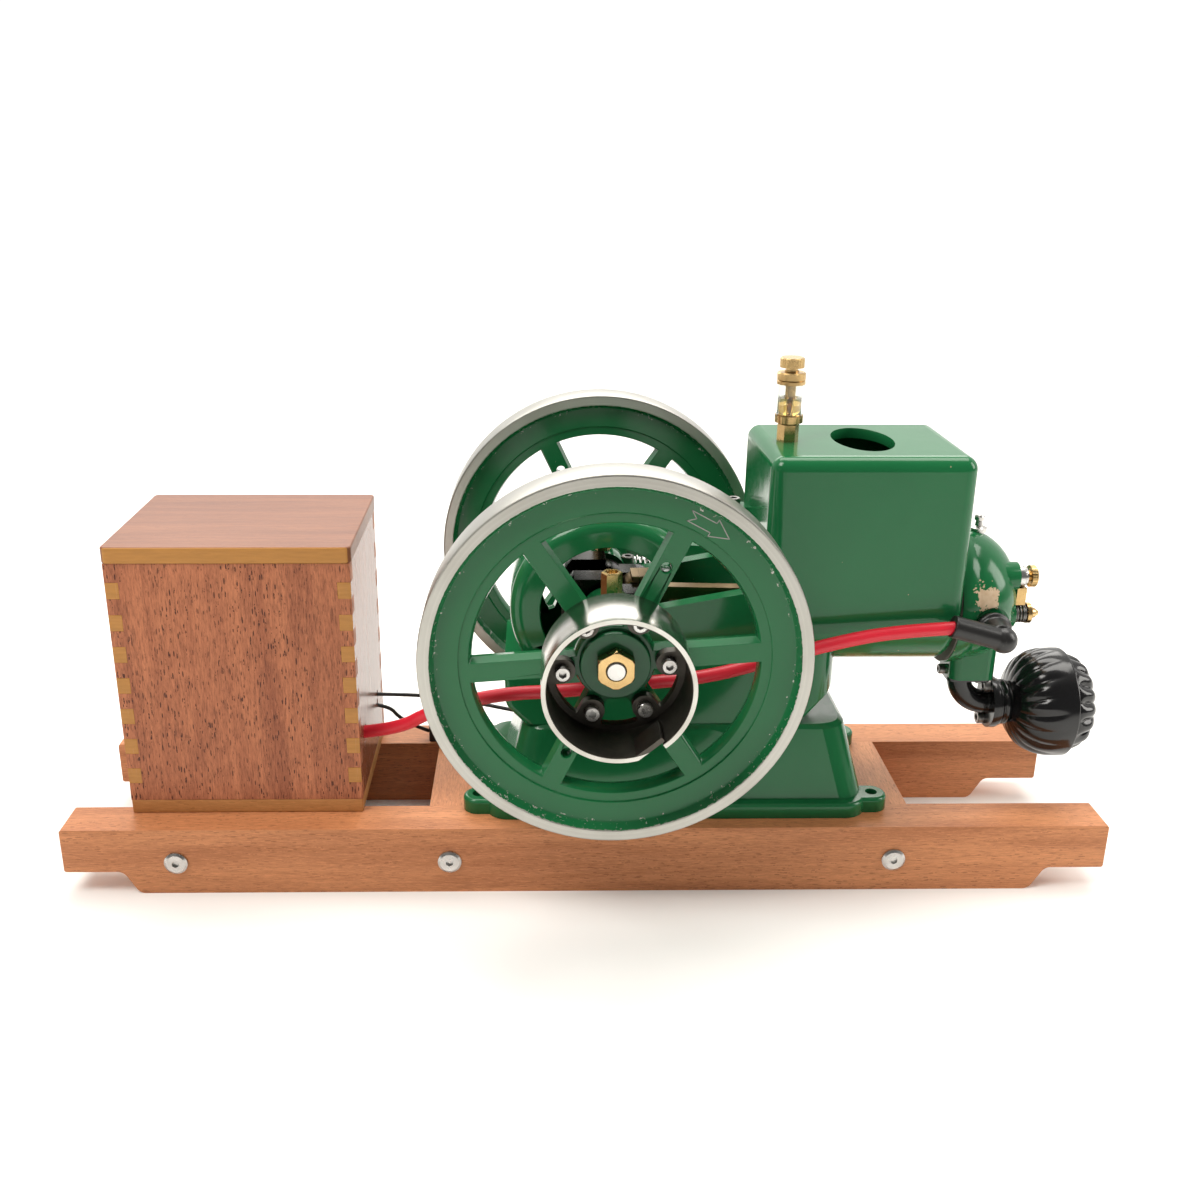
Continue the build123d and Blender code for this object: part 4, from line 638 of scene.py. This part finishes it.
def lead(name, route, diameter, material, node_to_replace=None):
    """A flexible lead fixed at both ends, as a round smooth curve."""
    data = bpy.data.curves.new(name, "CURVE")
    data.dimensions = "3D"
    spline(data, route)
    data.bevel_depth = diameter * MM / 2
    data.bevel_resolution = 8
    data.use_fill_caps = True
    data.materials.append(material)
    piece = bpy.data.objects.new(name, data)
    bpy.context.scene.collection.objects.link(piece)
    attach(piece, "skid")
    if node_to_replace:
        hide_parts(node_to_replace)
    run_length(route)


def boot(look):
    """Moulded spark plug boot: the CAD form, remeshed and softened as rubber."""
    source = NODES["spark_plug_boot"]
    mesh = source.data.copy()
    mesh.transform(source.matrix_world)
    piece = bpy.data.objects.new("moulded_boot", mesh)
    bpy.context.scene.collection.objects.link(piece)
    soften(piece, voxel=0.35, passes=6)
    piece.data.materials.clear()
    piece.data.materials.append(look["rubber"])
    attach(piece, "skid")
    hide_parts("spark_plug_boot")


def soften(piece, voxel, passes):
    """Remesh an object evenly, smooth it, and apply both."""
    remesh = piece.modifiers.new("remesh", "REMESH")
    remesh.mode = "VOXEL"
    remesh.voxel_size = voxel * MM
    remesh.use_smooth_shade = True
    smooth = piece.modifiers.new("smooth", "SMOOTH")
    smooth.iterations = passes
    smooth.factor = 0.5
    depsgraph = bpy.context.evaluated_depsgraph_get()
    depsgraph.update()
    result = bpy.data.meshes.new_from_object(piece.evaluated_get(depsgraph))
    piece.modifiers.clear()
    piece.data = result


def oil_fill(look):
    """Oil standing in the sight glass, with a meniscus, round the feed spindle."""
    low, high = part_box("oiler_glass")
    centre = (low + high) / 2 / MM
    radius = OIL_R
    spindle = SPINDLE_R
    z0 = low.z / MM + 0.05
    z1 = z0 + OIL_DEPTH
    profile = [
        (spindle, z0), (radius, z0), (radius, z1 + 0.35), (radius - 0.35, z1 + 0.08), (radius - 1.0, z1),
        (spindle + 0.6, z1), (spindle, z1 + 0.25),
    ]
    sides = 40
    rows = []
    for r, z in profile:
        row = []
        for j in range(sides):
            a = 2 * math.pi * j / sides
            row.append((centre.x + r * math.cos(a), centre.y + r * math.sin(a), z))
        rows.append(row)
    piece = new_piece("sight_glass_oil", swept(rows), look["oil"], "skid")


def ring_point(angle, radius):
    """Point on the near wheel's ring, at an angle from +X towards +Z."""
    a = math.radians(angle)
    return CRANK[0] + radius * math.cos(a), CRANK[1] + radius * math.sin(a)


BAR_FACES = ((0, 1, 2, 3), (7, 6, 5, 4), (0, 4, 5, 1), (1, 5, 6, 2), (2, 6, 7, 3), (3, 7, 4, 0))


def direction_arrow(look):
    """Engraved outline of a turning arrow on the near wheel's ring."""
    outline = [
        (66, 55.6), (57, 55.6), (57, 54.2), (50.5, 57.6), (57, 60.8), (57, 59.4), (66, 59.4), (63.5, 57.5),
    ]
    width = ARROW_LINE
    points = []
    faces = []
    for (a0, r0), (a1, r1) in zip(outline, outline[1:] + outline[:1]):
        x0, z0 = ring_point(a0, r0)
        x1, z1 = ring_point(a1, r1)
        along = Vector((x1 - x0, 0, z1 - z0)).normalized()
        side = Vector((-along.z, 0, along.x)) * width / 2
        start = Vector((x0, RING_Y - 0.02, z0)) - along * width / 2
        end = Vector((x1, RING_Y - 0.02, z1)) + along * width / 2
        base = len(points)
        for y in (0.0, ARROW_DEPTH):
            lift = Vector((0, y, 0))
            corners = (start - side, end - side, end + side, start + side)
            points += [tuple(corner + lift) for corner in corners]
        faces += [tuple(base + k for k in quad) for quad in BAR_FACES]
    piece = new_piece("direction_arrow", (points, faces), look["dark_steel"], "crank", smooth=False)


# ================================================================ studio
CAMERA_PLACE = (-18.07, -448.33, 274.59)
CAMERA_PITCH = 19.41
CAMERA_YAW = 0.9
CAMERA_ROLL = 0.21
LENS = 36.61
SHIFT = (0.0355, -0.0252)
FLOOR_SIDE = 2.4
FLOOR_FRONT = 1.2
FLOOR_BACK = 1.2
DIM = 0.16
BRIGHT = 1.10
WARM = (1.0, 0.975, 0.925)


def camera():
    """Camera at the photograph's place: low-left of centre, above the skid, close in."""
    data = bpy.data.cameras.new("camera")
    data.sensor_width = 36.0
    data.lens = LENS
    data.shift_x, data.shift_y = SHIFT
    data.clip_start = 0.01
    data.clip_end = 20.0
    pitch = math.radians(CAMERA_PITCH)
    yaw = math.radians(CAMERA_YAW)
    roll = math.radians(CAMERA_ROLL)
    level = Vector((math.sin(yaw), math.cos(yaw), 0))
    forward = level * math.cos(pitch) - Vector((0, 0, math.sin(pitch)))
    right = Vector((math.cos(yaw), -math.sin(yaw), 0))
    up = right.cross(forward)
    turned_right = right * math.cos(roll) + up * math.sin(roll)
    turned_up = up * math.cos(roll) - right * math.sin(roll)
    piece = bpy.data.objects.new("camera", data)
    axes = Matrix((turned_right, turned_up, -forward)).transposed()
    piece.matrix_world = Matrix.Translation(Vector(CAMERA_PLACE) * MM) @ axes.to_4x4()
    bpy.context.scene.collection.objects.link(piece)
    bpy.context.scene.camera = piece


def softbox(name, place, aim, size, power):
    """Rectangular warm area light aimed at a point."""
    data = bpy.data.lights.new(name, "AREA")
    data.shape = "RECTANGLE"
    data.size, data.size_y = size
    data.energy = power
    data.color = WARM
    piece = bpy.data.objects.new(name, data)
    piece.location = place
    direction = Vector(aim) - Vector(place)
    piece.rotation_euler = direction.to_track_quat("-Z", "Y").to_euler()
    bpy.context.scene.collection.objects.link(piece)


def studio():
    """Pale floor, a bright surround behind and a dim one in front, and soft boxes."""
    floor = bpy.data.meshes.new("floor")
    corners = [
        (-FLOOR_SIDE, -FLOOR_FRONT, 0), (FLOOR_SIDE, -FLOOR_FRONT, 0), (FLOOR_SIDE, FLOOR_BACK, 0),
        (-FLOOR_SIDE, FLOOR_BACK, 0),
    ]
    floor.from_pydata(corners, [], [(0, 1, 2, 3)])
    n = Nodes("floor_paper")
    tone = n.mix(n.noise(3, 2), (0.88, 0.875, 0.86), (0.91, 0.905, 0.89))
    floor.materials.append(n.finish(tone, 0.85, 0.0))
    piece = bpy.data.objects.new("floor", floor)
    bpy.context.scene.collection.objects.link(piece)
    surround()
    softbox("key", (-0.60, -0.45, 1.15), (0, 0, 0.08), (0.6, 0.6), 12)
    softbox("top", (0.15, 0.35, 1.3), (0.05, 0, 0.05), (1.3, 0.6), 14)
    softbox("right", (1.05, -0.20, 0.60), (0.1, 0, 0.1), (0.4, 0.7), 6)
    softbox("back", (0.0, 1.2, 0.9), (0, 0.3, 0.0), (1.6, 0.5), 9)
    bpy.context.scene.view_settings.view_transform = "Standard"


def surround():
    """World light by direction: dim behind the camera's side, white behind the object."""
    world = bpy.data.worlds.new("surround")
    world.use_nodes = True
    tree = world.node_tree
    background = tree.nodes["Background"]
    direction = tree.nodes.new("ShaderNodeTexCoord").outputs["Generated"]
    split = tree.nodes.new("ShaderNodeSeparateXYZ")
    tree.links.new(direction, split.inputs[0])
    fade = tree.nodes.new("ShaderNodeMapRange")
    fade.interpolation_type = "SMOOTHSTEP"
    tree.links.new(split.outputs["Y"], fade.inputs["Value"])
    for name, value in (("From Min", -0.55), ("From Max", 0.60), ("To Min", DIM), ("To Max", BRIGHT)):
        fade.inputs[name].default_value = value
    tree.links.new(fade.outputs["Result"], background.inputs["Strength"])
    background.inputs["Color"].default_value = (1.0, 0.985, 0.95, 1)
    bpy.context.scene.world = world


def build():
    """Dress the frame, add the detailed pieces and set the studio."""
    look = materials()
    dress_nodes(look)
    muffler(look)
    coil(
        "intake_coil", "intake_valve_spring", end_x=169.2, y=-12.0, z=103.0,
        mean_r=3.4, turns=5, material=look["spring"],
    )
    coil(
        "exhaust_coil", "exhaust_valve_spring", end_x=168.5, y=12.0, z=93.0,
        mean_r=3.2, turns=4, material=look["spring"],
    )
    boot(look)
    oil_fill(look)
    direction_arrow(look)
    lead("high_tension_lead", LEAD_ROUTE, LEAD_DIAMETER, look["lead"], "ht_lead")
    lead("sensor_lead", SENSOR_WIRE, WIRE_DIAMETER, look["wire"], "sensor_wires")
    lead("ground_lead", GROUND_WIRE, WIRE_DIAMETER, look["wire"])
    camera()
    studio()


build()
